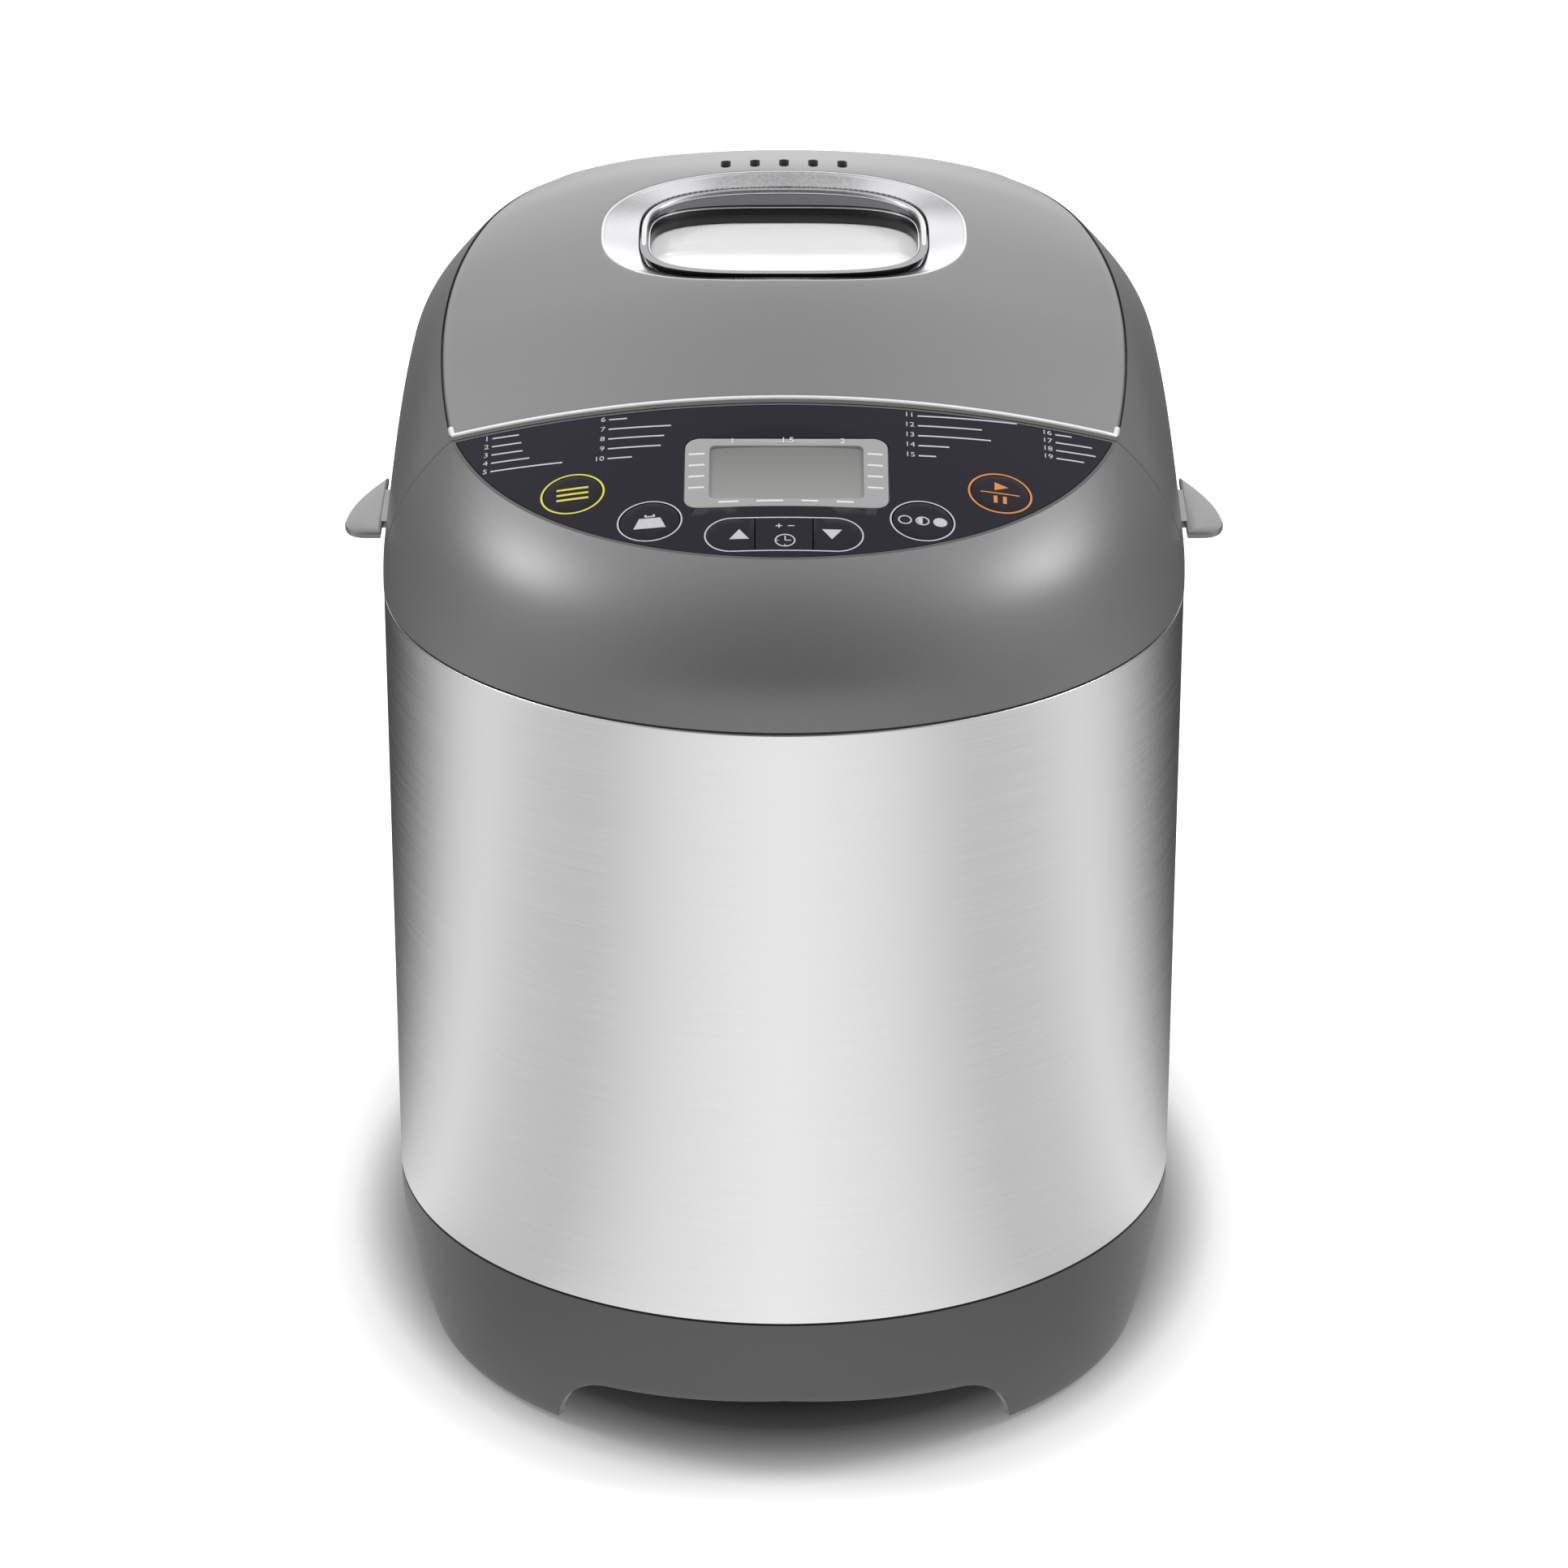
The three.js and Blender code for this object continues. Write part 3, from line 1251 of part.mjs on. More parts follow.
function lidFrame() {
  const skin = form({ bottom: partingHeight - 6 }).intersect(partingSide(lidFront, lidBottom, false));
  const ledgeDepth = shellWall + fit + ledgeThickness;
  const under = form({ wall: plasticWall, drop: ledgeDepth - plasticWall });
  const hollow = under.intersect(inLid(plasticWall));
  const underShell = prism(shellLoop(ledgeWidth), lidFlangeTop + 2, farAbove);
  const seat = cut(prism(shellLoop(0), shoulderFoot, farAbove), form({ drop: shellWall + fit }));
  let body = cut(skin, hollow, underShell, seat);

  const flange = cut(
    prism(lidLoop(plasticWall / 2), lidFlangeBottom, lidFlangeTop).intersect(inLid(plasticWall / 2)),
    prism(ovenRect(-2.5), lidFlangeBottom - 1, lidFlangeTop + 1),
  );
  body = join(body, flange);
  for (const hx of [-hingeX, hingeX]) {
    const [x0, x1] = [hx - knuckleLength / 2, hx + knuckleLength / 2];
    const arm = box(x0, x1, lidRearY - 8, hingeY, hingeHeight - knuckleArm, hingeHeight + knuckleRadius);
    body = join(body, arm, rod(x0, x1, hingeY, hingeHeight, knuckleRadius, 16));
    body = cut(body, rod(x0 - 1, x1 + 1, hingeY, hingeHeight, hingePinRadius + fit, 14));
  }
  for (const [, sign] of mirrored) {
    const place = [sign * lidScrewX, lidScrewY];
    body = join(body, post(...place, lidFlangeTop - 0.5, lidFlangeTop + 5, 4, 12));
    body = cut(body, post(...place, lidFlangeBottom - 1, lidFlangeTop + 4, screwRadius + fit, 10));
    const [x0, x1] = span(sign, halfWidth - gripTongue - 1, halfWidth + 4);
    const [y0, y1] = [gripTongueFront - fit, gripTongueRear + fit];
    body = cut(body, box(x0, x1, y0, y1, lidBottom - 1, lidBottom + gripThickness + fit));
  }
  return body;
}

const bezelFrontTop = crownHeight(windowY - windowHalfDepth) - dishDepth;
const glassTop = bezelFrontTop - bezelFrontHeight;
const windowLoop = (distance) =>
  oval(windowY, windowHalfWidth - distance, windowHalfDepth - distance, windowPower);
const dishLoop = (distance) =>
  oval(dishY, dishHalfWidth - distance, dishHalfDepth - distance, dishPower);
const overCrown = (loop, depth) => loop.map(([x, y]) => [x, y, crown(x, y) - depth]);
const dishBottom = shellWall + dishDepth + 0.4;

function lidShell() {
  let body = join(crownSheet(shellLoop(fit + 0.1), 0, shellWall), crownSheet(dishLoop(-3), 0.05, dishBottom));
  const opening = windowLoop(-running);
  const rim = dishLoop(0);
  const bowl = loft([overCrown(opening, dishDepth), overCrown(rim, 0.1), overCrown(rim, -6)]);
  body = cut(body, bowl, prism(opening, shoulderFoot, farAbove));
  for (let k = 0; k < ventCount; k++) {
    const x = (k - (ventCount - 1) / 2) * ventPitch;
    const vent = roundedRect(x, ventY, ventHalfWidth, ventHalfLength, 1, 2);
    body = cut(body, prism(vent, shoulderFoot, farAbove));
  }
  return body;
}

function windowBezel() {
  const ring = prism(windowLoop(0), glassTop + fit, farAbove).intersect(form({ drop: dishDepth }));
  const overGlass = box(-farAside, farAside, -farAside, farAside, glassTop + fit, farAbove);
  const flangeTop = dishBottom + fit;
  const flange = crownSheet(windowLoop(-bezelFlange), flangeTop, flangeTop + 2).intersect(overGlass);
  return cut(join(ring, flange), prism(windowLoop(bezelWall), shoulderFoot, farAbove));
}

function lidLiner() {
  const mouth = (distance, z) => level(ovenRect(distance), z);
  const dome = (distance) => {
    const [hx, hy] = [linerDomeHalfWidth - distance, linerDomeHalfDepth - distance];
    return level(roundedRect(0, linerDomeY, hx, hy, linerDomeCorner, 5), linerTop - distance);
  };
  const inFrame = form({ wall: plasticWall + 1, drop: shellWall + fit + ledgeThickness - plasticWall });
  const rim = prism(lidLoop(9), linerBottom, linerBottom + sheetWall).intersect(inLid(9)).intersect(inFrame);
  let body = join(loft([mouth(0, linerBottom), dome(0)]), rim);
  body = cut(body, loft([mouth(sheetWall, linerBottom - 0.5), dome(sheetWall)]));
  body = cut(body, prism(windowLoop(4), linerTop - 8, farAbove));
  for (const [, sign] of mirrored) {
    const hole = post(sign * lidScrewX, lidScrewY, linerBottom - 1, linerBottom + 3, screwRadius + fit, 10);
    body = cut(body, hole);
  }
  return body;
}

function lidScrew(x) {
  const head = post(x, lidScrewY, linerBottom - fit - 1.5, linerBottom - fit, screwHeadRadius, 12);
  return join(head, post(x, lidScrewY, linerBottom - fit - 0.1, lidFlangeTop + 3, screwRadius, 10));
}

function grip(sign) {
  const plan = new THREE.Shape();
  const root = halfWidth + fit;
  plan.moveTo(halfWidth - gripTongue, gripTongueFront);
  plan.lineTo(root, gripTongueFront);
  plan.lineTo(root, gripFront);
  plan.lineTo(gripReach - 7, gripFront);
  plan.quadraticCurveTo(gripReach, gripFront, gripReach, gripFront + 9);
  plan.quadraticCurveTo(gripReach - 1, gripRear - 18, root + 0.6, gripRear);
  plan.lineTo(root, gripRear);
  plan.lineTo(root, gripTongueRear);
  plan.lineTo(halfWidth - gripTongue, gripTongueRear);
  const points = plan.getPoints(7).map(({ x, y }) => [sign * x, y]);
  const moved = ([x, y], i) => i === 0 || Math.hypot(x - points[i - 1][0], y - points[i - 1][1]) > 1e-6;
  const loop = points.filter(moved);
  return prism(sign > 0 ? loop : loop.reverse(), lidBottom, lidBottom + gripThickness);
}

function hingePin(x) {
  const reach = knuckleSide + earLength;
  return rod(x - reach, x + reach, hingeY, hingeHeight, hingePinRadius, 14);
}

const lidSeal = cut(
  prism(ovenRect(-ovenFlange + 0.5), sealBottom, sealBottom + sealHeight),
  prism(ovenRect(-2), flangeTop, flangeTop + sealHeight + 1),
);
const innerGlass = prism(windowLoop(1.5), linerTop + fit, linerTop + fit + glassThickness);

add("lid_frame", lidFrame(), greyPlastic);
add("lid_shell", lidShell(), silverPlastic);
add("window_bezel", windowBezel(), darkPlastic);
const windowGlass = prism(windowLoop(-glassMargin), glassTop - glassThickness, glassTop);
add("window_glass", windowGlass, clearGlass);
add("lid_liner", lidLiner(), sheetSteel);
add("inner_glass", innerGlass, clearGlass);
add("lid_seal", lidSeal, siliconeGrey);
for (const [side, sign] of mirrored) {
  add("lid_grip_" + side, grip(sign), silverPlastic);
  add("lid_screw_" + side, lidScrew(sign * lidScrewX), turnedSteel);
  add("hinge_pin_" + side, hingePin(sign * hingeX), turnedSteel);
}

export default machine;
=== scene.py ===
"""A bread machine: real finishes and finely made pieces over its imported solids.

Plans are in millimetres with +Z up. The front faces -Y and the origin is on the table.
"""

import math

import bmesh
import bpy
import numpy as np
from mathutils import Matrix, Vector
from mathutils.geometry import delaunay_2d_cdt


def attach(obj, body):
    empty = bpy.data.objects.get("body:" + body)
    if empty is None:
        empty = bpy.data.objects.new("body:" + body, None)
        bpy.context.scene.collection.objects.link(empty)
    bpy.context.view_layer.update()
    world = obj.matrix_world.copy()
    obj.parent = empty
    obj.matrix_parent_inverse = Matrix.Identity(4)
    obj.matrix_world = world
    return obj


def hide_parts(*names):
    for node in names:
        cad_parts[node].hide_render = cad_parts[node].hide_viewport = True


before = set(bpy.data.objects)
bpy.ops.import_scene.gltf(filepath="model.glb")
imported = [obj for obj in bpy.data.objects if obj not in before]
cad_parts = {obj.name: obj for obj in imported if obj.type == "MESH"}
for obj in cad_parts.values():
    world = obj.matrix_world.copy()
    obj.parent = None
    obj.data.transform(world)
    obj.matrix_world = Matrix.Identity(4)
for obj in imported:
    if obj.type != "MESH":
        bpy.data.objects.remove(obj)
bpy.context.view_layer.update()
scene = bpy.context.scene

# ---------- sizes of the machine ----------
half_width = 118
front_bow = 110
bow_start = -62
rear_y = 172
body_corner = 70
lid_rear_y = 158
lid_corner = 80
foot_height = 2
base_top = 51.8
steel_top = 242.3
seam = 0.3
parting_y = -75.5
parting_height = 256
parting_round = 10
lid_gap = 0.2
shoulder_foot = 243
shoulder_power = 2.5
crown_radius = 385
crown_line = [
    (-147.5, 284.8),
    (-71, 304),
    (-10, 316.8),
    (64, 323.9),
    (100, 317.3),
    (130, 302.4),
    (158, 256),
]
crown_front_slope = 0.25
level_until = -60
crown_rear_slope = -2.6
shell_half_width = 101.6
shell_widest_y = -20.6
shell_front_bow = 0.0017
shell_rear_bow = 0.00224
shell_front_y = -73.6
shell_rear_y = 146
shell_gap = 0.4
shell_wall = 2.5
panel_front = -147.5
panel_depth = 72
oven_y = 39
oven_half_width = 92
oven_half_depth = 96
oven_corner = 42
window_y = 27.2
window_half_width = 43.6
window_half_depth = 30.8
window_power = 3.4
dish_y = 26.2
dish_half_width = 55
dish_half_depth = 37.7
dish_power = 2.6
dish_depth = 3
glass_top = 310


def shell_edge(y):
    bow = shell_front_bow if y < shell_widest_y else shell_rear_bow
    return shell_half_width - bow * (y - shell_widest_y) ** 2


panel_half_width = shell_edge(parting_y)
panel_radius = (panel_half_width**2 + panel_depth**2) / (2 * panel_depth)
panel_centre_y = panel_front + panel_radius
panel_span = math.asin(panel_half_width / panel_radius)
front_span = math.acos((bow_start - parting_y) / front_bow)


# ---------- the form of the top ----------
def smooth_step(share):
    share = min(1, max(0, share))
    return share * share * (3 - 2 * share)


def crown_height(y):
    """Height along the middle: a smooth curve through the points of crown_line."""
    last = len(crown_line) - 1
    at = min(max(y, crown_line[0][0]), crown_line[last][0])
    k = max(i for i in range(last) if crown_line[i][0] <= at)

    def slope(i):
        if i == 0:
            return crown_front_slope
        if i == last:
            return crown_rear_slope
        rise = crown_line[i + 1][1] - crown_line[i - 1][1]
        return rise / (crown_line[i + 1][0] - crown_line[i - 1][0])

    (y0, z0), (y1, z1) = crown_line[k], crown_line[k + 1]
    length = y1 - y0
    t = (at - y0) / length
    near = z0 * (1 + 2 * t) * (1 - t) ** 2 + slope(k) * length * t * (1 - t) ** 2
    return near + z1 * t * t * (3 - 2 * t) + slope(k + 1) * length * t * t * (t - 1)


def crown(x, y):
    """Height of the top. Towards the rear corners it falls as it does at the rear edge."""
    past = max(0, abs(x) - (half_width - lid_corner))
    sweep = lid_corner - math.sqrt(max(0, lid_corner**2 - past**2))
    sweep *= smooth_step((y - level_until) / (crown_line[3][0] - level_until))
    return crown_height(y + sweep) - x * x / (2 * crown_radius)


def level_crown(x, y):
    return crown_height(min(y, crown_line[3][0])) - x * x / (2 * crown_radius)


def crown_normal(x, y):
    slope_x = crown(x + 0.5, y) - crown(x - 0.5, y)
    slope_y = crown(x, y + 0.5) - crown(x, y - 0.5)
    return Vector((-slope_x, -slope_y, 1)).normalized()


def parting_z(y, front, bottom):
    """Height of the step-shaped line between the lid and the housing."""
    past = y - front - parting_round
    if past >= 0:
        return bottom
    return bottom + parting_round - math.sqrt(max(0, parting_round**2 - past**2))


def side_reach(y):
    """Half the width of the body at its foot, beside the straight sides and the bow."""
    if y >= bow_start:
        return half_width
    return half_width * math.sqrt(1 - ((y - bow_start) / front_bow) ** 2)


def front_rows(steps):
    """Right half of the bowed front: the outline and the round edge of the panel."""
    rows = []
    for i in range(steps + 1):
        a = front_span * i / steps
        b = panel_span * i / steps
        outer = (half_width * math.sin(a), bow_start - front_bow * math.cos(a))
        inner = (panel_radius * math.sin(b), panel_centre_y - panel_radius * math.cos(b))
        rows.append((outer, inner))
    return rows


def rear_rows(rear, corner, side_ys, corner_steps):
    """Right half behind the front: straight side and round corner."""
    rows = [((side_reach(y), y), (shell_edge(y), y)) for y in side_ys]
    for i in range(1, corner_steps + 1):
        a = math.pi / 2 * i / corner_steps
        x = half_width - corner + corner * math.cos(a)
        y = rear - corner + corner * math.sin(a)
        rows.append(((x, y), (shell_edge(y), y)))
    return rows


def shoulder_point(outer, inner, h, top, lowest=0):
    lean = h**shoulder_power
    x = outer[0] + (inner[0] - outer[0]) * lean
    y = outer[1] + (inner[1] - outer[1]) * lean
    rim = max(top(*inner), lowest)
    return (x, y, shoulder_foot + (rim - shoulder_foot) * h)


def height_share(inner, z, top, lowest=0):
    """How far up the shoulder a height lies, from 0 at its foot to 1 at the crown."""
    rim = max(top(*inner), lowest)
    return min(1, max(0, (z - shoulder_foot) / (rim - shoulder_foot)))


def left_rows(rows):
    return [((-o[0], o[1]), (-i[0], i[1])) for o, i in rows]


def mirror_rows(rows):
    """The left half in order towards the middle, then the right half."""
    return left_rows(rows)[:0:-1] + rows


# ---------- drawing helpers ----------
def steps_between(start, end, count):
    return [start + (end - start) * i / count for i in range(count + 1)]


def arc(cx, cy, radius, start, end, count):
    angles = [math.radians(a) for a in steps_between(start, end, count)]
    return [(cx + radius * math.cos(a), cy + radius * math.sin(a)) for a in angles]


def inset(loop, distance):
    """An anticlockwise loop moved inwards by a distance, or by one for each point."""
    count = len(loop)
    each = distance if isinstance(distance, (list, tuple)) else [distance] * count
    moved = []
    for i, (x, y) in enumerate(loop):
        before, after = loop[i - 1], loop[(i + 1) % count]
        n0 = Vector((before[1] - y, x - before[0])).normalized()
        n1 = Vector((y - after[1], after[0] - x)).normalized()
        scale = each[i] / (1 + n0.dot(n1))
        moved.append((x + (n0.x + n1.x) * scale, y + (n0.y + n1.y) * scale))
    return moved


def rounded_rect(cx, cy, hx, hy, radius, count=8):
    r = min(radius, hx, hy)
    loop = arc(cx + hx - r, cy - hy + r, r, -90, 0, count)
    loop += arc(cx + hx - r, cy + hy - r, r, 0, 90, count)
    loop += arc(cx - hx + r, cy + hy - r, r, 90, 180, count)
    loop += arc(cx - hx + r, cy - hy + r, r, 180, 270, count)
    return [p for i, p in enumerate(loop) if math.dist(p, loop[i - 1]) > 1e-6]


def oval_at(cy, hx, hy, power, angle):
    c, s = math.cos(angle), math.sin(angle)
    r = (abs(c / hx) ** power + abs(s / hy) ** power) ** (-1 / power)
    return (r * c, cy + r * s)


def window_loop(distance, count=120):
    hx, hy = window_half_width - distance, window_half_depth - distance
    angles = steps_between(0, 2 * math.pi, count)[:-1]
    return [oval_at(window_y, hx, hy, window_power, a) for a in angles]


def body_loop(distance=0):
    """The body's outline seen from above, anticlockwise from the middle of the front."""
    rows = front_rows(80) + rear_rows(rear_y, body_corner, steps_between(parting_y, 102, 16)[1:], 24)
    right = [outer for outer, _ in rows]
    back = [(x, rear_y) for x in steps_between(48, -48, 16)[1:-1]]
    left = [(-x, y) for x, y in right[:0:-1]]
    return inset(right + back + left, distance)


def inside(points, loop):
    """Which of the plan points lie inside a loop."""
    points = np.asarray(points, float)
    loop = np.asarray(loop, float)
    x, y = points[:, 0:1], points[:, 1:2]
    x0, y0 = loop[:, 0], loop[:, 1]
    x1, y1 = np.roll(x0, -1), np.roll(y0, -1)
    crosses = (y0 > y) != (y1 > y)
    run = np.where(y1 == y0, 1, y1 - y0)
    reach = x0 + (y - y0) * (x1 - x0) / run
    return (crosses & (x < reach)).sum(axis=1) % 2 == 1


def patch(outline, holes, place, pitch=None):
    """Triangles that fill a plan outline less its holes, each point lifted by `place`."""
    loops = [outline, *holes]
    points = [tuple(p) for loop in loops for p in loop]
    edges = []
    start = 0
    for loop in loops:
        edges += [(start + i, start + (i + 1) % len(loop)) for i in range(len(loop))]
        start += len(loop)
    if pitch:
        border = np.array(points)
        low, high = border.min(0), border.max(0)
        xs = np.arange(low[0] + pitch / 2, high[0], pitch)
        ys = np.arange(low[1] + pitch / 2, high[1], pitch)
        grid = np.array([(x, y) for y in ys for x in xs])
        keep = inside(grid, outline)
        for hole in holes:
            keep &= ~inside(grid, hole)
        grid = grid[keep]
        if len(grid):
            away = np.sqrt(((grid[:, None] - border[None]) ** 2).sum(2)).min(1)
            points += [tuple(p) for p in grid[away > 0.45 * pitch]]
    made, _, faces, *_ = delaunay_2d_cdt([Vector(p) for p in points], edges, [], 0, 1e-6)
    plan = np.array([(p.x, p.y) for p in made])
    middles = np.array([plan[list(face)].mean(0) for face in faces])
    keep = inside(middles, outline)
    for hole in holes:
        keep &= ~inside(middles, hole)
    filled = []
    for face, kept in zip(faces, keep):
        if kept:
            (ax, ay), (bx, by), (cx, cy) = plan[list(face)]
            turn = (bx - ax) * (cy - ay) - (by - ay) * (cx - ax)
            filled.append(tuple(face) if turn > 0 else tuple(reversed(face)))
    return [place(x, y) for x, y in plan.tolist()], filled


def strips(rows, closed=True):
    """Quads between rows of equal length, the rows listed upwards on an outer side."""
    count = len(rows[0])
    faces = []
    for j in range(len(rows) - 1):
        for i in range(count if closed else count - 1):
            a, b = j * count + i, j * count + (i + 1) % count
            faces.append((a, b, b + count, a + count))
    return [p for row in rows for p in row], faces


def mirrored(loop):
    """The points of the right half in reverse order on the left."""
    return [(-x, y) for x, y in reversed(loop)]


def between_ends(loop, count):
    """Points of a straight line from the end of a loop back to its start, without both ends."""
    (x0, y), (x1, _) = loop[-1], loop[0]
    return [(x, y) for x in steps_between(x0, x1, count)[1:-1]]


def turned_over(part):
    points, faces = part
    return points, [tuple(reversed(face)) for face in faces]


def blend(start, end, share):
    """Plan points part of the way from one loop to another."""
    return [(a[0] + (b[0] - a[0]) * share, a[1] + (b[1] - a[1]) * share) for a, b in zip(start, end)]


def at_height(loop, z):
    return [(x, y, z) for x, y in loop]


def profile_rows(shape, profile):
    """Rows of a loop that a function gives for each distance, from distance and height pairs."""
    return [at_height(shape(d), z) for d, z in profile]


def hole_wall(loop, bottom, top):
    return turned_over(strips([at_height(loop, bottom), at_height(loop, top)]))


def on_crown(loop, depth=0.0):
    return [(x, y, crown(x, y) - depth) for x, y in loop]


def edge_strip(loop, low, high=0.0):
    """The wall along a loop between two depths under the crown."""
    return strips([on_crown(loop, low), on_crown(loop, high)])


def crown_less(depth):
    return lambda x, y: (x, y, crown(x, y) - depth)


def flat(z):
    return lambda x, y: (x, y, z)


def laid(place, outline):
    """Plan points of an outline that is drawn on the crown about a place."""
    x, y = place
    turn = Vector((0, 0, 1)).rotation_difference(crown_normal(x, y))
    moved = [turn @ Vector((u, v, 0)) for u, v in outline]
    return [(x + p.x, y + p.y) for p in moved]


def lathe(x, y, profile, sides=40):
    """A turned part about an upright line, from radius and height pairs, outside upwards."""
    rows = [at_height(arc(x, y, radius, 0, 360 - 360 / sides, sides - 1), z) for radius, z in profile]
    return strips(rows)


def lathe_along_y(x, z, profile, sides=32):
    """A turned part about a line that runs front to rear."""
    points, faces = lathe(0, 0, profile, sides)
    return [(x + px, pz, z - py) for px, py, pz in points], faces


def tube_along(path, radius, sides=14, closed=False):
    """Round wire along points of a smooth route, with its ends closed."""
    route = [Vector(p) for p in path]
    count = len(route)
    rows = []
    side = None
    for i, point in enumerate(route):
        before = route[i - 1] if closed or i else point
        after = route[(i + 1) % count] if closed or i + 1 < count else point
        along = (after - before).normalized()
        if side is None:
            side = along.orthogonal().normalized()
        side = (side - along * side.dot(along)).normalized()
        up = along.cross(side)
        ring = []
        for k in range(sides):
            a = 2 * math.pi * k / sides
            ring.append(tuple(point + (side * math.cos(a) + up * math.sin(a)) * radius))
        rows.append(ring)
    if closed:
        rows.append(rows[0])
    points, faces = strips(rows)
    if not closed:
        last = len(points) - sides
        faces.append(tuple(range(sides - 1, -1, -1)))
        faces.append(tuple(range(last, last + sides)))
    return points, faces


def joined(parts):
    points, faces = [], []
    for more_points, more_faces in parts:
        start = len(points)
        points += more_points
        faces += [tuple(start + i for i in face) for face in more_faces]
    return points, faces


def piece(name, parts, body, slot, replaces=(), finish=None, sharp=35, weld=0.004, outward=False):
    """Makes a piece of the machine from its parts, in the finish of its slot or in another."""
    points, faces = joined(parts)
    mesh = bpy.data.meshes.new(name)
    mesh.from_pydata([[value / 1000 for value in p] for p in points], [], faces)
    work = bmesh.new()
    work.from_mesh(mesh)
    bmesh.ops.remove_doubles(work, verts=work.verts, dist=weld / 1000)
    loose = [v for v in work.verts if not v.link_faces]
    bmesh.ops.delete(work, geom=loose, context="VERTS")
    if outward:
        bmesh.ops.recalc_face_normals(work, faces=work.faces)
    work.to_mesh(mesh)
    work.free()
    obj = bpy.data.objects.new(name, mesh)
    scene.collection.objects.link(obj)
    mesh.materials.append(finish or finishes[slot])
    mesh.shade_smooth()
    mesh.set_sharp_from_angle(angle=math.radians(sharp))
    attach(obj, body)
    if replaces:
        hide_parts(*replaces)
    return obj


def settle(obj, sharp=35):
    """Writes a piece's modifiers into its mesh."""
    graph = bpy.context.evaluated_depsgraph_get()
    made = bpy.data.meshes.new_from_object(obj.evaluated_get(graph))
    obj.modifiers.clear()
    obj.data = made
    made.shade_smooth()
    made.set_sharp_from_angle(angle=math.radians(sharp))


def round_edges(obj, width, segments=3, angle=40):
    bevel = obj.modifiers.new("round_edges", "BEVEL")
    bevel.width = width / 1000
    bevel.segments = segments
    bevel.limit_method = "ANGLE"
    bevel.angle_limit = math.radians(angle)
    bevel.harden_normals = True


# ---------- finishes ----------
def linear(colour):
    """A hex colour as it is written, turned to linear light."""
    values = [int(colour[i : i + 2], 16) / 255 for i in (1, 3, 5)]
    return [v / 12.92 if v <= 0.04045 else ((v + 0.055) / 1.055) ** 2.4 for v in values] + [1]


def add_node(tree, kind, settings, links=()):
    """Adds a node with its settings by name, and its inputs linked."""
    made = tree.nodes.new(kind)
    for name, value in settings.items():
        if isinstance(name, int) or name in made.inputs:
            made.inputs[name].default_value = value
        else:
            setattr(made, name, value)
    for name, source in links:
        tree.links.new(source, made.inputs[name])
    return made


def start_finish(name, roughness, metallic=0.0, ior=None, others=()):
    """A new finish and its shader, with the values that are the same all over."""
    material = bpy.data.materials.new(name)
    material.use_nodes = True
    shader = material.node_tree.nodes["Principled BSDF"]
    shader.inputs["Roughness"].default_value = roughness
    shader.inputs["Metallic"].default_value = metallic
    if ior:
        shader.inputs["IOR"].default_value = ior
    for key, value in others:
        shader.inputs[key].default_value = value
    return material, material.node_tree, shader


def grain(tree, shader, size_mm, dark, light, gloss, relief_mm, stretch=(1, 1, 1), detail=3):
    """Lays one fine pattern: two tones of colour, a range of roughness, and relief."""
    place = add_node(tree, "ShaderNodeTexCoord", {})
    run = add_node(tree, "ShaderNodeMapping", {"Scale": stretch}, [("Vector", place.outputs["Object"])])
    noise = add_node(
        tree,
        "ShaderNodeTexNoise",
        {"Scale": 1000 / size_mm, "Detail": detail, "Roughness": 0.55},
        [("Vector", run.outputs["Vector"])],
    )
    tone = add_node(
        tree,
        "ShaderNodeMix",
        {"data_type": "RGBA", 6: linear(dark), 7: linear(light)},
        [(0, noise.outputs["Fac"])],
    )
    tree.links.new(tone.outputs[2], shader.inputs["Base Color"])
    shine = add_node(
        tree,
        "ShaderNodeMapRange",
        {"From Min": 0.3, "From Max": 0.7, "To Min": gloss[0], "To Max": gloss[1]},
        [("Value", noise.outputs["Fac"])],
    )
    tree.links.new(shine.outputs["Result"], shader.inputs["Roughness"])
    bump = add_node(
        tree,
        "ShaderNodeBump",
        {"Strength": 1.0, "Distance": relief_mm / 1000},
        [("Height", noise.outputs["Fac"])],
    )
    tree.links.new(bump.outputs["Normal"], shader.inputs["Normal"])
    return noise


def painted_grey_abs():
    # Moulded ABS under satin metallic paint: fine flake, soft broad highlights.
    material, tree, shader = start_finish("painted_grey_abs", 0.38, metallic=0.4)
    grain(tree, shader, 0.5, "#7a7a7b", "#888889", (0.35, 0.41), 0.002)
    return material


def painted_silver_abs():
    # Moulded ABS under silver paint: lighter flake, a little glossier.
    material, tree, shader = start_finish("painted_silver_abs", 0.36, metallic=0.5)
    grain(tree, shader, 0.5, "#888889", "#969697", (0.33, 0.39), 0.002)
    return material


def polished_silver_abs():
    # Moulded ABS with a bright vacuum-metallised skin: mirror-like under a light haze.
    material, tree, shader = start_finish("polished_silver_abs", 0.2, metallic=1.0)
    grain(tree, shader, 1.0, "#d8d8da", "#e6e6e8", (0.17, 0.23), 0.001)
    return material


def painted_highlight_trim():
    # A thin line of near-white colour with a soft gloss: a painted highlight on a rounded edge.
    material, tree, shader = start_finish("painted_highlight_trim", 0.22, metallic=0.35)
    grain(tree, shader, 0.8, "#f4f4f5", "#ffffff", (0.19, 0.26), 0.001)
    return material


def polished_grey_abs():
    # Moulded ABS with a metallised skin under smoke-grey lacquer.
    material, tree, shader = start_finish("polished_grey_abs", 0.18, metallic=0.9)
    grain(tree, shader, 1.0, "#707073", "#7c7c7f", (0.15, 0.21), 0.001)
    return material


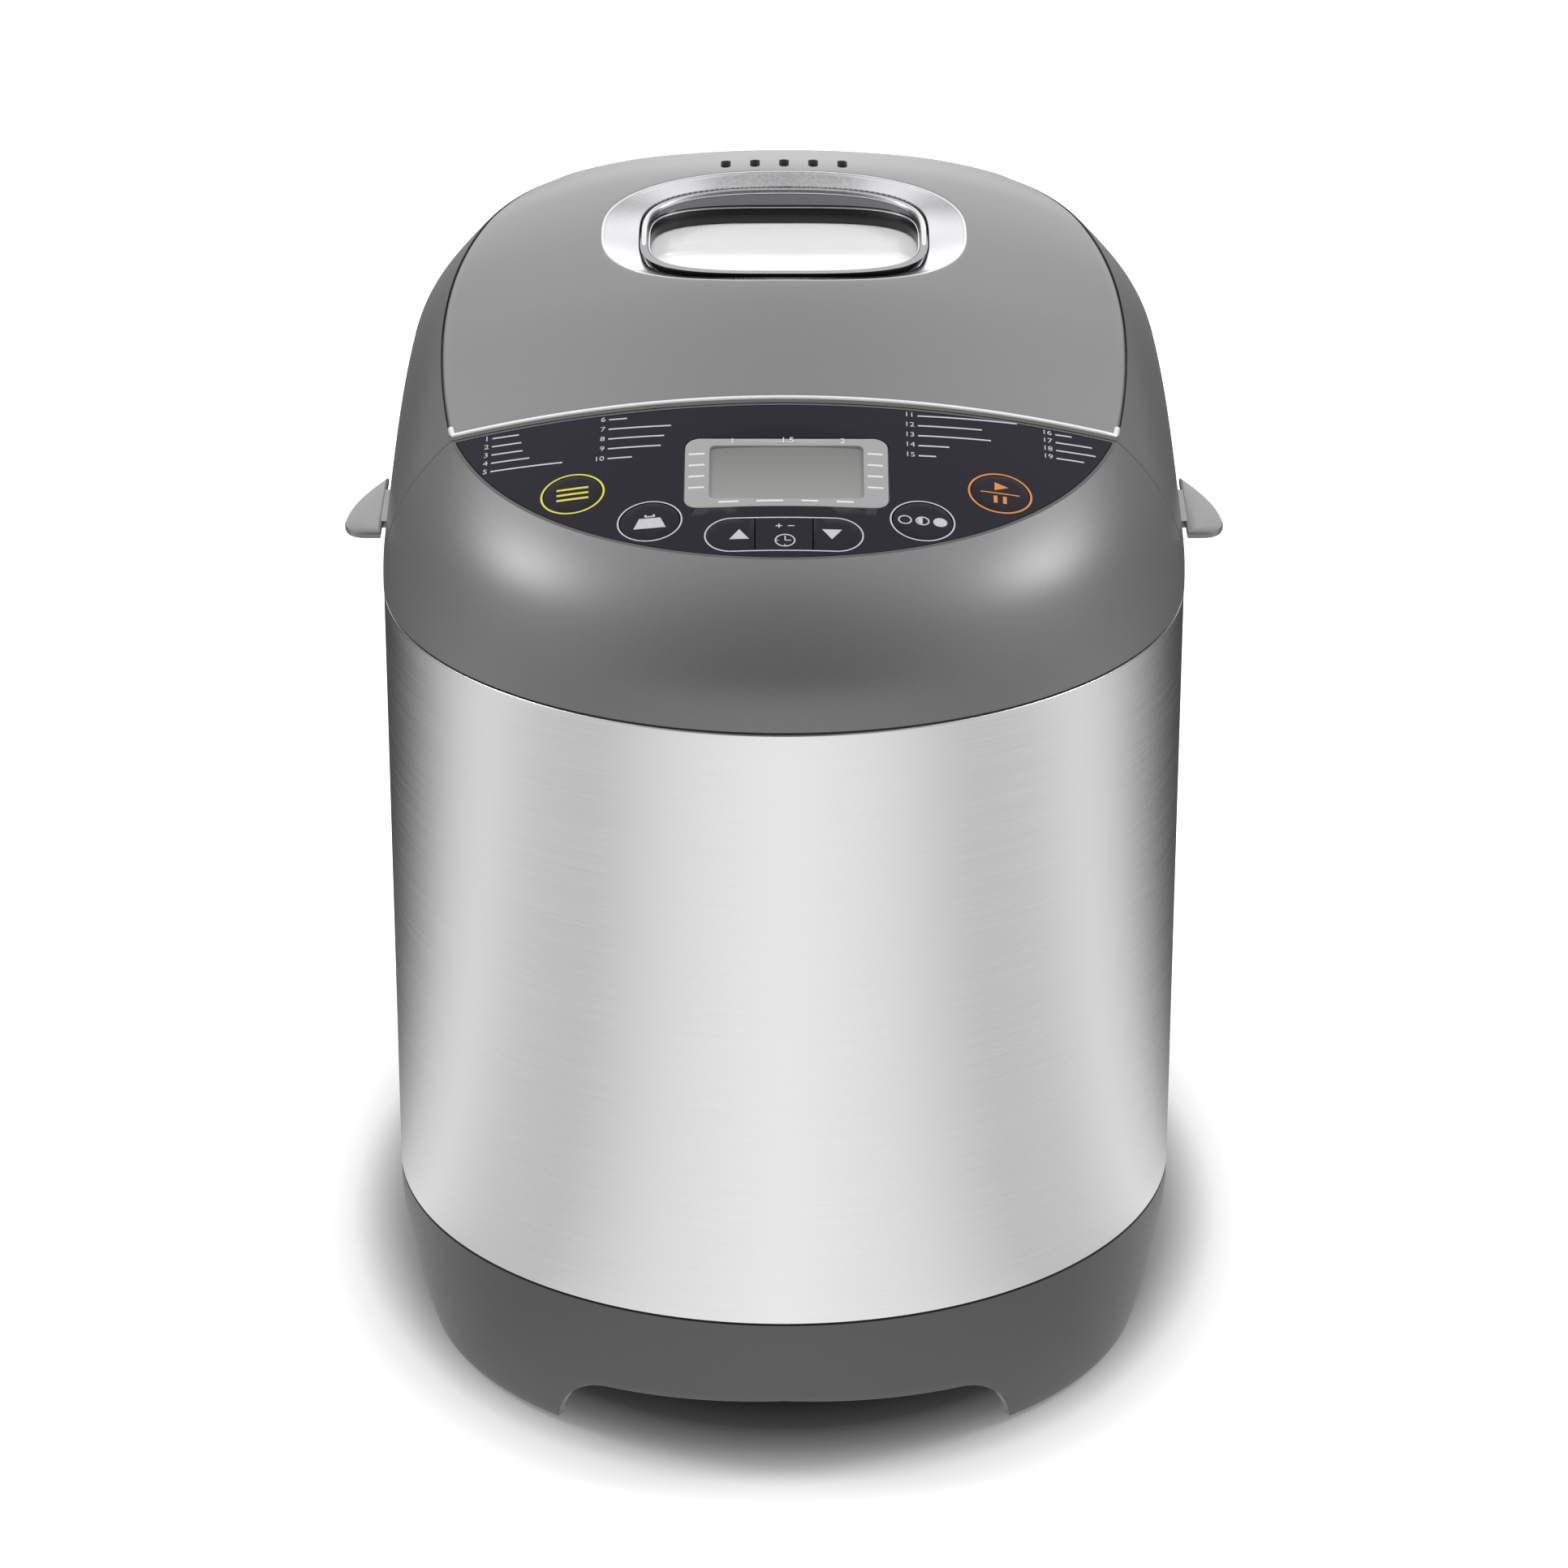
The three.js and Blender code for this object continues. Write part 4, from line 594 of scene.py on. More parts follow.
def painted_charcoal_abs():
    # Moulded ABS in charcoal paint, with the faint orange peel of a sprayed coat.
    material, tree, shader = start_finish("painted_charcoal_abs", 0.44, metallic=0.4)
    grain(tree, shader, 0.8, "#5c5c5d", "#666666", (0.4, 0.48), 0.004)
    return material


def moulded_black_abs():
    # Plain black ABS with a fine spark-eroded grain.
    material, tree, shader = start_finish("moulded_black_abs", 0.5, ior=1.53)
    grain(tree, shader, 0.6, "#161617", "#202021", (0.42, 0.56), 0.012)
    return material


def brushed_stainless_steel():
    # Stainless sheet brushed round the body: lines draw the reflections out upright.
    # The strokes are 0.1 mm on the real sheet and are drawn 0.5 mm high so that they show.
    material, tree, shader = start_finish(
        "brushed_stainless_steel", 0.25, metallic=1.0, others=[("Anisotropic", 0.35)]
    )
    grain(tree, shader, 0.5, "#dcdcdd", "#ebebec", (0.21, 0.29), 0.0012, (0.012, 0.012, 1), 4)
    around = add_node(tree, "ShaderNodeTangent", {"direction_type": "RADIAL", "axis": "Z"})
    tree.links.new(around.outputs["Tangent"], shader.inputs["Tangent"])
    return material


def aluminised_sheet_steel():
    # Aluminised steel sheet: soft grey metal with a faint rolled spangle.
    material, tree, shader = start_finish("aluminised_sheet_steel", 0.4, metallic=1.0)
    grain(tree, shader, 6, "#a9abad", "#bfc1c3", (0.34, 0.46), 0.01)
    return material


def turned_bright_steel():
    # Bright drawn and turned steel: clean reflections with faint lathe lines.
    material, tree, shader = start_finish("turned_bright_steel", 0.2, metallic=1.0)
    grain(tree, shader, 0.4, "#cfd1d3", "#dddfe0", (0.16, 0.24), 0.001, (0.1, 0.1, 1))
    return material


def cast_aluminium():
    # Die-cast aluminium: matt, slightly pitted skin.
    material, tree, shader = start_finish("cast_aluminium", 0.48, metallic=1.0)
    grain(tree, shader, 1.2, "#9c9ea0", "#b1b3b5", (0.42, 0.55), 0.02)
    return material


def baked_nonstick_coating():
    # Baked non-stick coating on aluminium: dark satin with light specks.
    material, tree, shader = start_finish("baked_nonstick_coating", 0.42, ior=1.4)
    noise = grain(tree, shader, 0.7, "#2a2a2c", "#343436", (0.36, 0.5), 0.01)
    speck = add_node(
        tree,
        "ShaderNodeMapRange",
        {"From Min": 0.68, "From Max": 0.74, "To Min": 0.0, "To Max": 0.5},
        [("Value", noise.outputs["Fac"])],
    )
    base = shader.inputs["Base Color"].links[0].from_socket
    tone = add_node(
        tree,
        "ShaderNodeMix",
        {"data_type": "RGBA", 7: linear("#7c7c80")},
        [(0, speck.outputs["Result"]), (6, base)],
    )
    tree.links.new(tone.outputs[2], shader.inputs["Base Color"])
    return material


def printed_panel_film():
    # Back-printed polyester film: deep navy ink under a smooth satin face.
    material, tree, shader = start_finish(
        "printed_panel_film", 0.45, ior=1.57, others=[("Specular IOR Level", 0.1)]
    )
    grain(tree, shader, 0.9, "#1d1d26", "#22222b", (0.41, 0.49), 0.001)
    return material


def printed_frame_grey():
    # The display's printed frame: light grey ink with a fine screen dot.
    material, tree, shader = start_finish("printed_frame_grey", 0.36, ior=1.5)
    grain(tree, shader, 0.5, "#a2a2a3", "#acacad", (0.33, 0.4), 0.001)
    return material


def display_glass():
    # Liquid-crystal display that is switched off: grey-green cell under clear glass. The cell is painted
    # darker towards its rear edge, as shade under the frame.
    material, tree, shader = start_finish(
        "display_glass", 0.3, ior=1.5, others=[("Specular IOR Level", 0.2)]
    )
    place = add_node(tree, "ShaderNodeTexCoord", {})
    split = add_node(tree, "ShaderNodeSeparateXYZ", {}, [("Vector", place.outputs["Object"])])
    # Painted shade: the cell's colour darkens towards its rear edge, under the frame.
    rear_painted_shade = add_node(
        tree,
        "ShaderNodeMapRange",
        {"From Min": -0.122, "From Max": -0.096, "To Min": 0.0, "To Max": 1.0},
        [("Value", split.outputs["Y"])],
    )
    cell = add_node(
        tree,
        "ShaderNodeTexNoise",
        {"Scale": 1000 / 0.4, "Detail": 1.0},
        [("Vector", place.outputs["Object"])],
    )
    glow = add_node(
        tree,
        "ShaderNodeMath",
        {"operation": "MULTIPLY_ADD", 1: 0.12},
        [(0, cell.outputs["Fac"]), (2, rear_painted_shade.outputs["Result"])],
    )
    tone = add_node(
        tree,
        "ShaderNodeMix",
        {"data_type": "RGBA", 6: linear("#a2a3a1"), 7: linear("#848583")},
        [(0, glow.outputs["Value"])],
    )
    tree.links.new(tone.outputs[2], shader.inputs["Base Color"])
    return material


def tempered_window_glass():
    # Tempered glass: its near-white colour is a painted reflection of the bright room round it, and a
    # little light passes through.
    material, tree, shader = start_finish(
        "tempered_window_glass", 0.08, ior=1.52, others=[("Transmission Weight", 0.04)]
    )
    grain(tree, shader, 9, "#f8f9f9", "#ffffff", (0.05, 0.12), 0.002)
    return material


def moulded_black_rubber():
    # Moulded rubber: matt black with a dusty grain.
    material, tree, shader = start_finish("moulded_black_rubber", 0.8, ior=1.52)
    grain(tree, shader, 0.8, "#1a1a1a", "#262626", (0.72, 0.86), 0.015)
    return material


def moulded_grey_silicone():
    # Silicone rubber: soft grey, waxy, a little light passes into it.
    material, tree, shader = start_finish(
        "moulded_grey_silicone", 0.6, ior=1.41, others=[("Subsurface Weight", 0.1)]
    )
    shader.inputs["Subsurface Scale"].default_value = 0.002
    grain(tree, shader, 1.5, "#85857f", "#94948e", (0.52, 0.66), 0.008)
    return material


def oxidised_heater_steel():
    # Heater sheath in oxidised stainless steel: brown-grey and uneven.
    material, tree, shader = start_finish("oxidised_heater_steel", 0.5, metallic=0.9)
    grain(tree, shader, 5, "#4c4642", "#635a54", (0.42, 0.6), 0.01)
    return material


def lacquered_circuit_board():
    # Glass-fibre board under green lacquer, with the weave just showing.
    material, tree, shader = start_finish("lacquered_circuit_board", 0.4, ior=1.5)
    grain(tree, shader, 1.0, "#1a5236", "#236341", (0.34, 0.46), 0.01)
    return material


def screen_ink(name, dark, light):
    # Screen-printed ink: flat, slightly uneven where the mesh laid it down.
    material, tree, shader = start_finish(name, 0.45, ior=1.48)
    grain(tree, shader, 0.4, dark, light, (0.4, 0.5), 0.001)
    return material


def gloss_black_abs():
    # Gloss-black moulded ring that seats the glass.
    material, tree, shader = start_finish("gloss_black_abs", 0.22, ior=1.53)
    grain(tree, shader, 0.7, "#131314", "#1a1a1b", (0.18, 0.28), 0.002)
    return material


finishes = {
    "grey_plastic": painted_grey_abs(),
    "silver_plastic": painted_silver_abs(),
    "dark_plastic": painted_charcoal_abs(),
    "black_plastic": moulded_black_abs(),
    "brushed_steel": brushed_stainless_steel(),
    "sheet_steel": aluminised_sheet_steel(),
    "turned_steel": turned_bright_steel(),
    "cast_aluminium": cast_aluminium(),
    "nonstick_coating": baked_nonstick_coating(),
    "panel_film": printed_panel_film(),
    "bezel_grey": printed_frame_grey(),
    "lcd": display_glass(),
    "glass": tempered_window_glass(),
    "black_rubber": moulded_black_rubber(),
    "silicone": moulded_grey_silicone(),
    "element_steel": oxidised_heater_steel(),
    "circuit_board": lacquered_circuit_board(),
}
white_ink = screen_ink("white_screen_ink", "#c2c2ca", "#d0d0d6")
bright_ink = screen_ink("bright_white_screen_ink", "#e4e4e6", "#f0f0f1")
yellow_ink = screen_ink("yellow_screen_ink", "#d9d23a", "#e6df4c")
orange_ink = screen_ink("orange_screen_ink", "#d98238", "#e69148")
gloss_black = gloss_black_abs()
bright_skin = polished_silver_abs()
smoke_skin = polished_grey_abs()
highlight_skin = painted_highlight_trim()

# Every solid has a real finish, also where a finer piece stands for it.
solid_finishes = {
    "grey_plastic": ["top_housing", "lid_frame"],
    "silver_plastic": ["lid_shell", "lid_grip_left", "lid_grip_right"],
    "dark_plastic": ["base", "rear_cover", "window_bezel"],
    "black_plastic": ["cord_inlet", "motor_pulley", "large_pulley"],
    "brushed_steel": ["stainless_wrap"],
    "sheet_steel": ["chassis_plate", "oven_stand", "motor_bracket", "oven_cavity", "lid_liner"],
    "turned_steel": ["spindle", "motor_shaft", "pan_shaft", "temperature_sensor", "pan_bail"],
    "cast_aluminium": ["motor", "motor_capacitor", "spindle_bearing", "drive_coupling", "pan_seat"],
    "nonstick_coating": ["bread_pan", "kneading_paddle"],
    "panel_film": ["control_overlay", "timer_up_button", "timer_down_button"],
    "bezel_grey": ["lcd_bezel"],
    "lcd": ["lcd_module"],
    "glass": ["window_glass", "inner_glass"],
    "black_rubber": ["drive_belt", "foot_1", "foot_2", "foot_3", "foot_4"],
    "silicone": ["pan_seal", "lid_seal"],
    "element_steel": ["heating_element"],
    "circuit_board": ["power_board", "control_board"],
}
solid_finishes["cast_aluminium"] += ["pan_bushing", "pan_coupling"]
solid_finishes["panel_film"] += ["menu_button", "weight_button", "color_button", "start_button"]
for side in ("left", "right"):
    turned_names = ["chassis_screw_", "rear_screw_", "lid_screw_", "hinge_pin_"]
    solid_finishes["turned_steel"] += [part + side for part in turned_names]
for slot_name, solid_names in solid_finishes.items():
    for solid_name in solid_names:
        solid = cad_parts[solid_name]
        solid.data.materials.clear()
        solid.data.materials.append(finishes[slot_name])


# ---------- base ----------
arch_half_width = 68
arch_shoulder = 52
arch_shoulder_height = 21.5
arch_height = 24
arch_from = 110
feet = [(-72, -116), (72, -116), (-80, 128), (80, 128)]
foot_seat = 4.3
base_wall = 3
base_floor = 25
base_floor_top = 28
tongue_top = 57.5


def taper(z):
    return 9.5 * max(0, 1 - z / base_top) ** 1.8


def arch(x):
    """Height of the opening under the front and the rear."""
    reach = abs(x)
    if reach >= arch_half_width:
        return 0
    if reach > arch_shoulder:
        share = (reach - arch_shoulder) / (arch_half_width - arch_shoulder)
        return arch_shoulder_height * math.sqrt(1 - share * share)
    return arch_shoulder_height + (arch_height - arch_shoulder_height) * (1 - reach / arch_shoulder)


def skirt_foot(skirt_point, count):
    """Height of the skirt's lower edge at each point, found where the arches cut it."""
    lows = []
    for i in range(count):
        low, high = foot_height, arch_height + 1
        x, y, _ = skirt_point(i, low)
        if abs(y) < arch_from or arch(x) <= low:
            lows.append(low)
            continue
        for _ in range(30):
            middle = (low + high) / 2
            if middle < arch(skirt_point(i, middle)[0]):
                low = middle
            else:
                high = middle
        lows.append(high)
    return lows


def base_skirt(loop):
    inward = [(m[0] - p[0], m[1] - p[1]) for p, m in zip(loop, inset(loop, 1))]

    def skirt_point(i, z, wall=0.0):
        d = taper(z) + wall
        return (loop[i][0] + inward[i][0] * d, loop[i][1] + inward[i][1] * d, z)

    lows = skirt_foot(skirt_point, len(loop))
    top = base_top - seam
    rows = [
        [skirt_point(i, 27, base_wall) for i in range(len(loop))],
        [skirt_point(i, low, base_wall) for i, low in enumerate(lows)],
        [skirt_point(i, low, 0.25) for i, low in enumerate(lows)],
    ]
    for share in steps_between(0, 1, 14):
        rows.append([skirt_point(i, low + 0.6 + (top - low - 0.6) * share) for i, low in enumerate(lows)])
    return strips(rows)


def make_base():
    loop = body_loop()
    top = base_top - seam
    profile = [(0, top), (1.1, top), (1.1, tongue_top), (base_wall, tongue_top), (base_wall, 45)]
    tongue = strips([at_height(inset(loop, d), z) for d, z in profile])
    floor_loop = inset(loop, taper(base_floor) + base_wall)
    holes = [rounded_rect(x, 0, 4, 20, 1.5, 3) for x in (-24, 0, 24)]
    parts = [base_skirt(loop), tongue]
    parts.append(turned_over(patch(floor_loop, holes, flat(base_floor))))
    parts.append(patch(floor_loop, holes, flat(base_floor_top)))
    parts += [hole_wall(hole, base_floor, base_floor_top) for hole in holes]
    post = [(9.3, foot_seat), (9.3, 2.2), (9.6, 2), (10.7, 2), (11, 2.3), (11, 26)]
    parts += [lathe(x, y, post) for x, y in feet]
    parts += [turned_over(patch(arc(x, y, 9.3, 0, 351, 39), [], flat(foot_seat))) for x, y in feet]
    piece("base_moulding", parts, "machine", "dark_plastic", ["base"])


def make_feet():
    for number, (x, y) in enumerate(feet, 1):
        pad = [(0.01, 0), (7.6, 0), (8.6, 0.3), (9, 1), (9, 3.9), (0.01, 3.9)]
        piece(
            "foot_pad_%d" % number,
            [lathe(x, y, pad)],
            "machine",
            "black_rubber",
            ["foot_%d" % number],
        )


make_base()
make_feet()


# ---------- steel wrap ----------
cover_half_width = 45
cover_seam = 0.3
sheet_gauge = 0.8


def make_wrap():
    gap = cover_half_width + cover_seam
    loop = body_loop()
    start = next(i for i, (x, y) in enumerate(loop) if y > rear_y - 0.01 and x < -gap)
    route = [(-gap, rear_y)] + loop[start:] + loop[:start]
    route = [p for p in route if not (p[1] > rear_y - 0.01 and abs(p[0]) < gap)] + [(gap, rear_y)]
    levels = [52.1, 52.25, 52.6, *steps_between(60, 234, 8), 241.5, 241.85, 242]
    draws = [0.25, 0.07, 0, *[0] * 9, 0, 0.07, 0.25]
    inwards = []
    for i, (x, y) in enumerate(route):
        before, after = route[max(i - 1, 0)], route[min(i + 1, len(route) - 1)]
        inwards.append(Vector((before[1] - after[1], after[0] - before[0])).normalized())

    def ring(d, z):
        return [(p[0] + n.x * d, p[1] + n.y * d, z) for p, n in zip(route, inwards)]

    rows = [ring(sheet_gauge, levels[0])] + [ring(d, z) for d, z in zip(draws, levels)]
    rows += [ring(sheet_gauge, levels[-1]), ring(sheet_gauge, levels[0])]
    piece(
        "stainless_sheet",
        [strips(rows, closed=False)],
        "machine",
        "brushed_steel",
        ["stainless_wrap"],
        sharp=50,
    )


make_wrap()

# ---------- top housing ----------
film_rim = 1.3
film_thickness = 0.8
recess_depth = 1.1
rim_depth = 0.3
rim_rise = -0.02
button_radius = 8.8
button_gap = 0.3
button_well = 4
button_depth = 3.2
hinge_places = (-46, 46)
hinge_y = 163
hinge_z = 261
knuckle_radius = 4.2
ear_from = 6.4
ear_until = 11.4


def panel_loop(distance, count=90):
    radius = panel_radius - film_rim - distance
    chord = parting_y - film_rim - distance
    lean = math.degrees(math.asin((panel_centre_y - chord) / radius))
    return arc(0, panel_centre_y, radius, 180 + lean, 360 - lean, count)


buttons = {
    "menu_button": ((-60.15, -111.21), yellow_ink),
    "weight_button": ((-37.89, -127.7), white_ink),
    "color_button": ((39.09, -127.38), white_ink),
    "start_button": ((61.48, -110.64), orange_ink),
}
timer_y = -136.05
timer_half_length = 22.2
timer_half_width = 7.6
timer_inner = 8
cell_depth = 0.85
lcd_x = 0.7
lcd_y = -107.15
lcd_half_width = 29
lcd_half_depth = 15.85
lcd_sight = (22, 12.1)
lcd_cell = (23.6, 13.7)
lcd_hole_size = (24.2, 14.4)


def timer_cap(sign, distance):
    radius = timer_half_width - distance
    centre = timer_half_length - timer_half_width
    inner = timer_inner + distance
    cap = [(inner, -radius), *arc(centre, 0, radius, -90, 90, 24), (inner, radius)]
    return cap if sign > 0 else mirrored(cap)


def cap_loops(distance):
    """Outline of every button on the crown, less a distance."""
    loops = {}
    for name, (place, _) in buttons.items():
        loops[name] = laid(place, arc(0, 0, button_radius - distance, 0, 355, 71))
    middle = (timer_inner + timer_half_length) / 2
    for name, sign in (("timer_up_button", -1), ("timer_down_button", 1)):
        outline = [(x - sign * middle, y) for x, y in timer_cap(sign, distance)]
        loops[name] = laid((sign * middle, timer_y), outline)
    return loops


def make_panel_rim(outer, inner):
    """A dark band laid over the housing's grey edge round the film, darker than the housing."""
    parts = [patch(outer, [inner], crown_less(rim_rise))]
    parts.append(turned_over(patch(outer, [inner], crown_less(rim_depth))))
    parts.append(edge_strip(outer, rim_depth, rim_rise))
    parts.append(turned_over(edge_strip(inner, rim_depth, rim_rise)))
    piece("panel_rim", parts, "machine", "dark_plastic")


housing_plane = parting_y - lid_gap
housing_foot = steel_top + seam
housing_chamfer = 0.25
shoulder_shares = [0, 0.04, 0.09, 0.15, *steps_between(0.2, 1, 26)]


def housing_walls(rear):
    """The walls beside and behind the oven, and the points up the right rear corner."""
    walls = []
    for rows in (rear, left_rows(rear)):
        columns = []
        for o, i in rows:
            top = parting_z(o[1], housing_plane, parting_height)
            share = height_share(i, top, level_crown)
            column = [(o[0], o[1], housing_foot + housing_chamfer), (o[0], o[1], shoulder_foot)]
            column += [shoulder_point(o, i, share * k / 6, level_crown) for k in range(1, 7)]
            columns.append(column)
        side = strips([list(level) for level in zip(*columns)], closed=False)
        walls.append(side if rows is rear else turned_over(side))
        if rows is rear:
            right_corner = columns[-1]
    back = [[(x, rear_y, z), (-x, rear_y, z)] for x, _, z in right_corner]
    return walls, strips(back, closed=False)


def housing_deck(rear, flat_from):
    """The face under the lid: it sweeps down behind the panel and runs flat round the oven."""
    right_top = []
    for o, i in rear:
        top = parting_z(o[1], housing_plane, parting_height)
        right_top.append(shoulder_point(o, i, height_share(i, top, level_crown), level_crown))
    sweep = []
    for x, y, z in right_top[: flat_from + 1]:
        sweep.append([(x * s, y, z) for s in steps_between(-1, 1, 24)])
    right_deck = [(x, y) for x, y, _ in right_top[flat_from:]]
    back_x = right_deck[-1][0]
    back = [(x, rear_y) for x in steps_between(back_x, -back_x, 10)[1:-1]]
    deck = right_deck + back + mirrored(right_deck)
    deck += between_ends(deck, 24)
    hx, hy = oven_half_width + 0.5, oven_half_depth + 0.5
    mouth = rounded_rect(0, oven_y, hx, hy, oven_corner + 0.5, 16)
    wall = hole_wall(mouth, 240, parting_height)
    return [strips(sweep, closed=False), patch(deck, [mouth], flat(parting_height)), wall]


def housing_face(right):
    """The upright face behind the panel, that the lid closes against."""
    edge = [shoulder_point(*right, h, level_crown) for h in shoulder_shares]
    wall_from = parting_height + parting_round
    share = height_share(right[1], wall_from, level_crown)
    right_edge = [(shoulder_point(*right, share, level_crown)[0], wall_from)]
    right_edge += [(x, z) for x, _, z in edge if z > wall_from + 0.5]
    top_x = right_edge[-1][0]
    across = [(x, crown(x, housing_plane)) for x in steps_between(top_x, -top_x, 30)[1:-1]]
    wall_loop = right_edge + across + mirrored(right_edge)
    return turned_over(patch(wall_loop, [], lambda x, z: (x, housing_plane, z)))


def housing_panel(rim_loop):
    """The rim round the control panel, and the recess that takes the film and the buttons."""
    rim_loop = rim_loop + [(x, housing_plane) for x, _ in between_ends(rim_loop, 60)]
    recess = panel_loop(-button_gap)
    recess += between_ends(recess, 60)
    make_panel_rim(rim_loop, recess)
    holes = list(cap_loops(-0.1).values())
    holes.append(rounded_rect(lcd_x, lcd_y, *lcd_hole_size, 1, 2))
    parts = [patch(rim_loop, [recess], crown_less(rim_depth))]
    parts.append(turned_over(edge_strip(recess, recess_depth, rim_depth)))
    parts.append(patch(recess, holes, crown_less(recess_depth), 5))
    return parts + [turned_over(edge_strip(hole, button_well, recess_depth)) for hole in holes]


def make_housing():
    front = mirror_rows(front_rows(64))
    side_ys = [housing_plane + d for d in (0, 1, 2, 3, 4.5, 6, 7.5, 9, 10)]
    flat_from = len(side_ys) - 1
    rear = rear_rows(rear_y, body_corner, side_ys + steps_between(-60, 102, 12), 20)
    shell = [[shoulder_point(o, i, h, level_crown) for o, i in front] for h in shoulder_shares]
    outline = [o for o, _ in front]
    lower = [at_height(outline, z) for z in (housing_foot + housing_chamfer, shoulder_foot)]
    walls, back = housing_walls(rear)
    parts = [strips([*lower, *shell[1:]], closed=False), *walls, *housing_deck(rear, flat_from), back]
    parts.append(housing_face(front[-1]))
    parts += housing_panel([(x, y) for x, y, _ in shell[-1]])
    tongue = [(3, 237), (1.1, 237), (1.1, housing_foot), (housing_chamfer, housing_foot)]
    tongue.append((0, housing_foot + housing_chamfer))
    loop = body_loop()
    parts.append(strips([at_height(inset(loop, d), z) for d, z in tongue]))
    for hx in hinge_places:
        for sign in (-1, 1):
            near, far = hx + sign * ear_from, hx + sign * ear_until
            parts.append(hinge_ear(min(near, far), max(near, far)))
    piece("top_moulding", parts, "machine", "grey_plastic", ["top_housing"], sharp=28)


def extruded(outline, x0, x1):
    """A solid bar along X, from anticlockwise y and z pairs."""
    near = [(x0, y, z) for y, z in outline]
    far = [(x1, y, z) for y, z in outline]
    count = len(outline)
    points, faces = strips([near, far])
    faces.append(tuple(reversed(range(count))))
    faces.append(tuple(range(count, 2 * count)))
    return points, [tuple(reversed(face)) for face in faces]


def hinge_ear(x0, x1):
    crest = arc(hinge_y, hinge_z, knuckle_radius, 0, 180, 20)
    foot = parting_height - 0.5
    return extruded([(hinge_y - knuckle_radius, foot), (hinge_y + knuckle_radius, foot), *crest], x0, x1)


make_housing()


# ---------- control panel ----------
def make_film():
    outline = panel_loop(0)
    outline += between_ends(outline, 60)
    holes = list(cap_loops(0).values())
    holes.append(rounded_rect(lcd_x, lcd_y, lcd_half_width + 0.3, lcd_half_depth + 0.3, 4.3, 8))
    parts = [patch(outline, holes, crown_less(0), 3.5)]
    parts.append(turned_over(patch(outline, holes, crown_less(film_thickness), 6)))
    parts.append(edge_strip(outline, film_thickness))
    parts += [turned_over(edge_strip(hole, film_thickness)) for hole in holes]
    piece("panel_film_sheet", parts, "machine", "panel_film", ["control_overlay"])


def make_button_caps():
    for name, loop in cap_loops(button_gap).items():
        soft = [(0.0, button_depth), (0.0, 0.2), (0.06, 0.06), (0.2, 0.0)]
        rows = [on_crown(inset(loop, d), depth) for d, depth in soft]
        cap = [strips(rows), patch(inset(loop, 0.2), [], crown_less(0), 2.5)]
        cap.append(turned_over(patch(loop, [], crown_less(button_depth))))
        piece(name + "_cap", cap, name, "panel_film", [name])


def make_display():
    outer = rounded_rect(lcd_x, lcd_y, lcd_half_width, lcd_half_depth, 4, 8)
    inner = rounded_rect(lcd_x, lcd_y, *lcd_sight, 1.6, 8)
    rows = [on_crown(inset(outer, d), depth) for d, depth in [(0, 0.8), (0, 0.15), (0.15, 0)]]
    frame_parts = [strips(rows), patch(inset(outer, 0.15), [inner], crown_less(0), 3)]
    frame_parts.append(turned_over(edge_strip(inner, 0.8)))
    piece("display_frame", frame_parts, "machine", "bezel_grey", ["lcd_bezel"])
    cell = rounded_rect(lcd_x, lcd_y, *lcd_cell, 1, 8)
    cell_parts = [patch(cell, [], crown_less(cell_depth), 3)]
    cell_parts.append(turned_over(patch(cell, [], crown_less(button_well), 6)))
    cell_parts.append(edge_strip(cell, button_well, cell_depth))
    piece("display_cell", cell_parts, "machine", "lcd", ["lcd_module"])


make_film()
make_button_caps()
make_display()


# ---------- lid ----------
bowl_start = 0.28
bowl_skin = 0.05
shell_edge_profile = [(0, 2.5), (0, 0.9), (0.07, 0.56), (0.26, 0.26), (0.56, 0.07), (0.9, 0)]
band_depth = 0.4
band_rise = -0.03
flange_height = 262.4
arm_half_width = 6
vent_pitch = 9
vent_y = 72.7


lid_plane = parting_y + lid_gap
lid_bottom = parting_height + seam


def lid_sides(rows):
    """The rounded cheeks of the lid, and the points along their lower right edge."""
    sides, lower_right = [], []
    for sign, half in ((1, rows), (-1, left_rows(rows))):
        columns = []
        for o, i in half:
            low = parting_z(o[1], lid_plane, lid_bottom)
            share = height_share(i, low, crown, lid_bottom)
            shares = steps_between(share, 1, 22)
            columns.append([shoulder_point(o, i, h, crown, lid_bottom) for h in shares])
        side = strips([list(level) for level in zip(*columns)], closed=False)
        sides.append(side if sign > 0 else turned_over(side))
        if sign > 0:
            lower_right = [column[0] for column in columns]
    return sides, lower_right


def lid_lip():
    """The strip of the lid's top in front of the shell, under a thin dark band of painted shade."""
    lip_edge = steps_between(shell_edge(lid_plane), -shell_edge(lid_plane), 50)
    front_line = [(x, lid_plane) for x in reversed(lip_edge)]
    seat = [(shell_edge(y), y) for y in steps_between(lid_plane, shell_front_y, 3)[1:]]
    back_line = [(x, shell_front_y) for x in steps_between(seat[-1][0], -seat[-1][0], 50)[1:-1]]
    lip_loop = front_line + seat + back_line + mirrored(seat)
    # The charcoal band is painted shade: the lid's lip under it is grey.
    band = [patch(lip_loop, [], crown_less(band_rise))]
    band.append(turned_over(patch(lip_loop, [], crown_less(band_depth))))
    band.append(edge_strip(lip_loop, band_depth, band_rise))
    piece("lid_lip_painted_shade", band, "lid", "dark_plastic")
    return patch(lip_loop, [], lid_top)


def lid_top(x, y):
    return (x, y, max(crown(x, y), lid_bottom))


